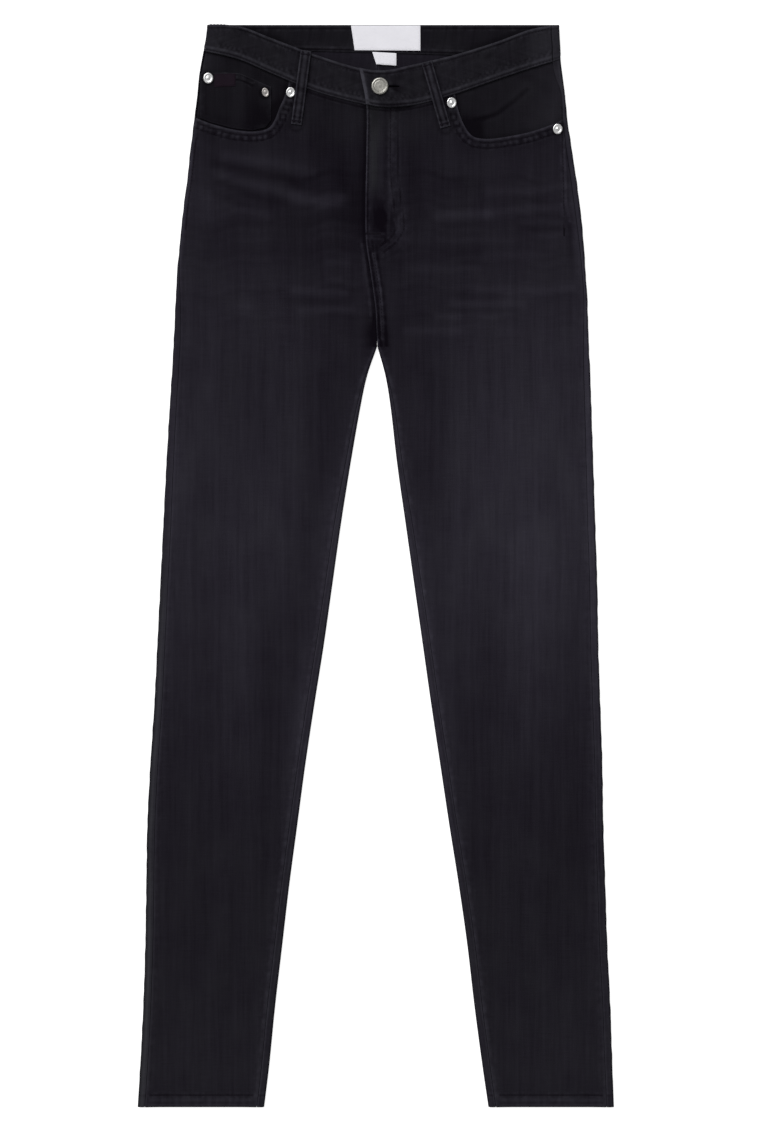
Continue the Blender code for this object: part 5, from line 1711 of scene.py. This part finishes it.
def stitches(name, lines, pitch=STITCH_PITCH, length=STITCH_LENGTH, size=1.0):
    """Every stitch of some lines, as one piece: a short rounded bar, its ends sunk in the cloth."""
    points, faces = [], []
    drop = np.array([0, 0, STITCH_DROP * size])
    last = 4 * (len(STITCH) - 1)
    for line in lines:
        spots = evenly(np.asarray(line, float), pitch)
        spots = 0.5 * (spots[1:] + spots[:-1])
        run = np.gradient(spots, axis=0) if len(spots) > 1 else np.array([line[-1] - line[0]])
        run /= np.linalg.norm(run, axis=1)[:, None]
        over = np.stack([-run[:, 1], run[:, 0], 0 * run[:, 0]], 1)
        for spot, along, across in zip(spots, run, over):
            first = len(points)
            for station in STITCH:
                middle = spot + along * (station.along * length) + np.array([0, 0, station.high * size])
                reach = across * station.half * size
                points += [middle + reach - 0.5 * drop, middle + 0.3 * drop,
                           middle - reach - 0.5 * drop, middle - 1.2 * drop]
            for a in range(first, first + last, 4):
                faces += [(a + i, a + (i + 1) % 4, a + 4 + (i + 1) % 4, a + 4 + i) for i in range(4)]
            faces += [tuple(first + i for i in range(3, -1, -1)), tuple(first + last + i for i in range(4))]
    made = add_mesh(name, np.array(points), faces, thread)
    settle(made, 1.4)
    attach(made, "root")


def on_front(side, line):
    """Line laid on a front's surface."""
    line = evenly(np.asarray(line, float), 1.2)
    z = front_top(side, line[:, 0], line[:, 1])
    return np.column_stack([line, z + 0.05])


def along_band(face, height):
    """Line along the waistband, at a height over its lower edge."""
    up = to_border(face)[2]
    line = np.array([[np.interp(height, up[:, k], face[:, k, i]) for i in range(3)] for k in range(face.shape[1])])
    return line[2:-2] + np.array([0, 0, 0.05])


for side in (RIGHT, LEFT):
    lines = [on_front(side, line) for line in sewing_of_front(side)]
    face = band_faces[side]
    tall = to_border(face)[2][-1, 30]
    lines += [along_band(face, height) for height in (BAND_LOWER_ROW, tall - BAND_UPPER_ROW)]
    stitches("front_" + WORDS[side] + "_stitches", lines)
stitches("belt_loop_and_pocket_stitches", trim_lines)
for centre, along, length in FRONT_TACKS:
    z = float(front_top(LEFT, np.array(centre[0] + 3.0), np.array(centre[1])))
    tacks += bartack(centre, along, length, TACK_WIDTH, z + 0.1)
stitches("bartacks", tacks, 2.2, 2.2, 0.9)


# Stage, light and camera

FLOOR_REACH = 20.0
FLOOR_DROP = 0.0006          # clear of the thread under the garment
SUN_SIDE = (-0.45, 0.62, 0.80)
VIEW_CENTRE = (0.0142, -0.0001)
PHOTO_LONG_SIDE = 1.1304     # what the photograph's long side takes in, at VIEW_LEVEL
VIEW_LEVEL = 0.005


def build_floor():
    """Pale surface without an edge in sight."""
    bm = bmesh.new()
    bmesh.ops.create_circle(bm, cap_ends=True, radius=FLOOR_REACH, segments=96)
    mesh = bpy.data.meshes.new("floor")
    bm.to_mesh(mesh)
    bm.free()
    floor = bpy.data.objects.new("floor", mesh)
    bpy.context.scene.collection.objects.link(floor)
    floor.location.z = -FLOOR_DROP
    look = Look("pale_floor")
    look.surface(Base_Color=(0.55, 0.55, 0.55, 1), Roughness=0.95, Specular_IOR_Level=0.0,
                 Emission_Color=(1, 1, 1, 1), Emission_Strength=0.8)
    mesh.materials.append(look.material)


def build_light():
    """White room, and a wide soft light from the upper left."""
    room = bpy.data.worlds.new("studio")
    room.use_nodes = True
    background = room.node_tree.nodes["Background"]
    background.inputs["Color"].default_value = (1, 1, 1, 1)
    background.inputs["Strength"].default_value = 0.50
    bpy.context.scene.world = room
    sun = bpy.data.lights.new("softbox", "SUN")
    sun.energy = 2.0
    sun.angle = radians(34)
    lamp = bpy.data.objects.new("softbox", sun)
    lamp.rotation_euler = Vector(SUN_SIDE).to_track_quat("Z", "Y").to_euler()
    bpy.context.scene.collection.objects.link(lamp)


def build_camera():
    """The photograph's view, straight down."""
    lens = bpy.data.cameras.new("photo_view")
    lens.lens = 85
    lens.sensor_width = 36
    lens.clip_end = 50
    camera = bpy.data.objects.new("photo_view", lens)
    camera.location = (*VIEW_CENTRE, VIEW_LEVEL + PHOTO_LONG_SIDE * lens.lens / lens.sensor_width)
    bpy.context.scene.collection.objects.link(camera)
    bpy.context.scene.camera = camera
    bpy.context.scene.view_settings.view_transform = "Standard"


build_floor()
build_light()
build_camera()

bpy.context.view_layer.update()
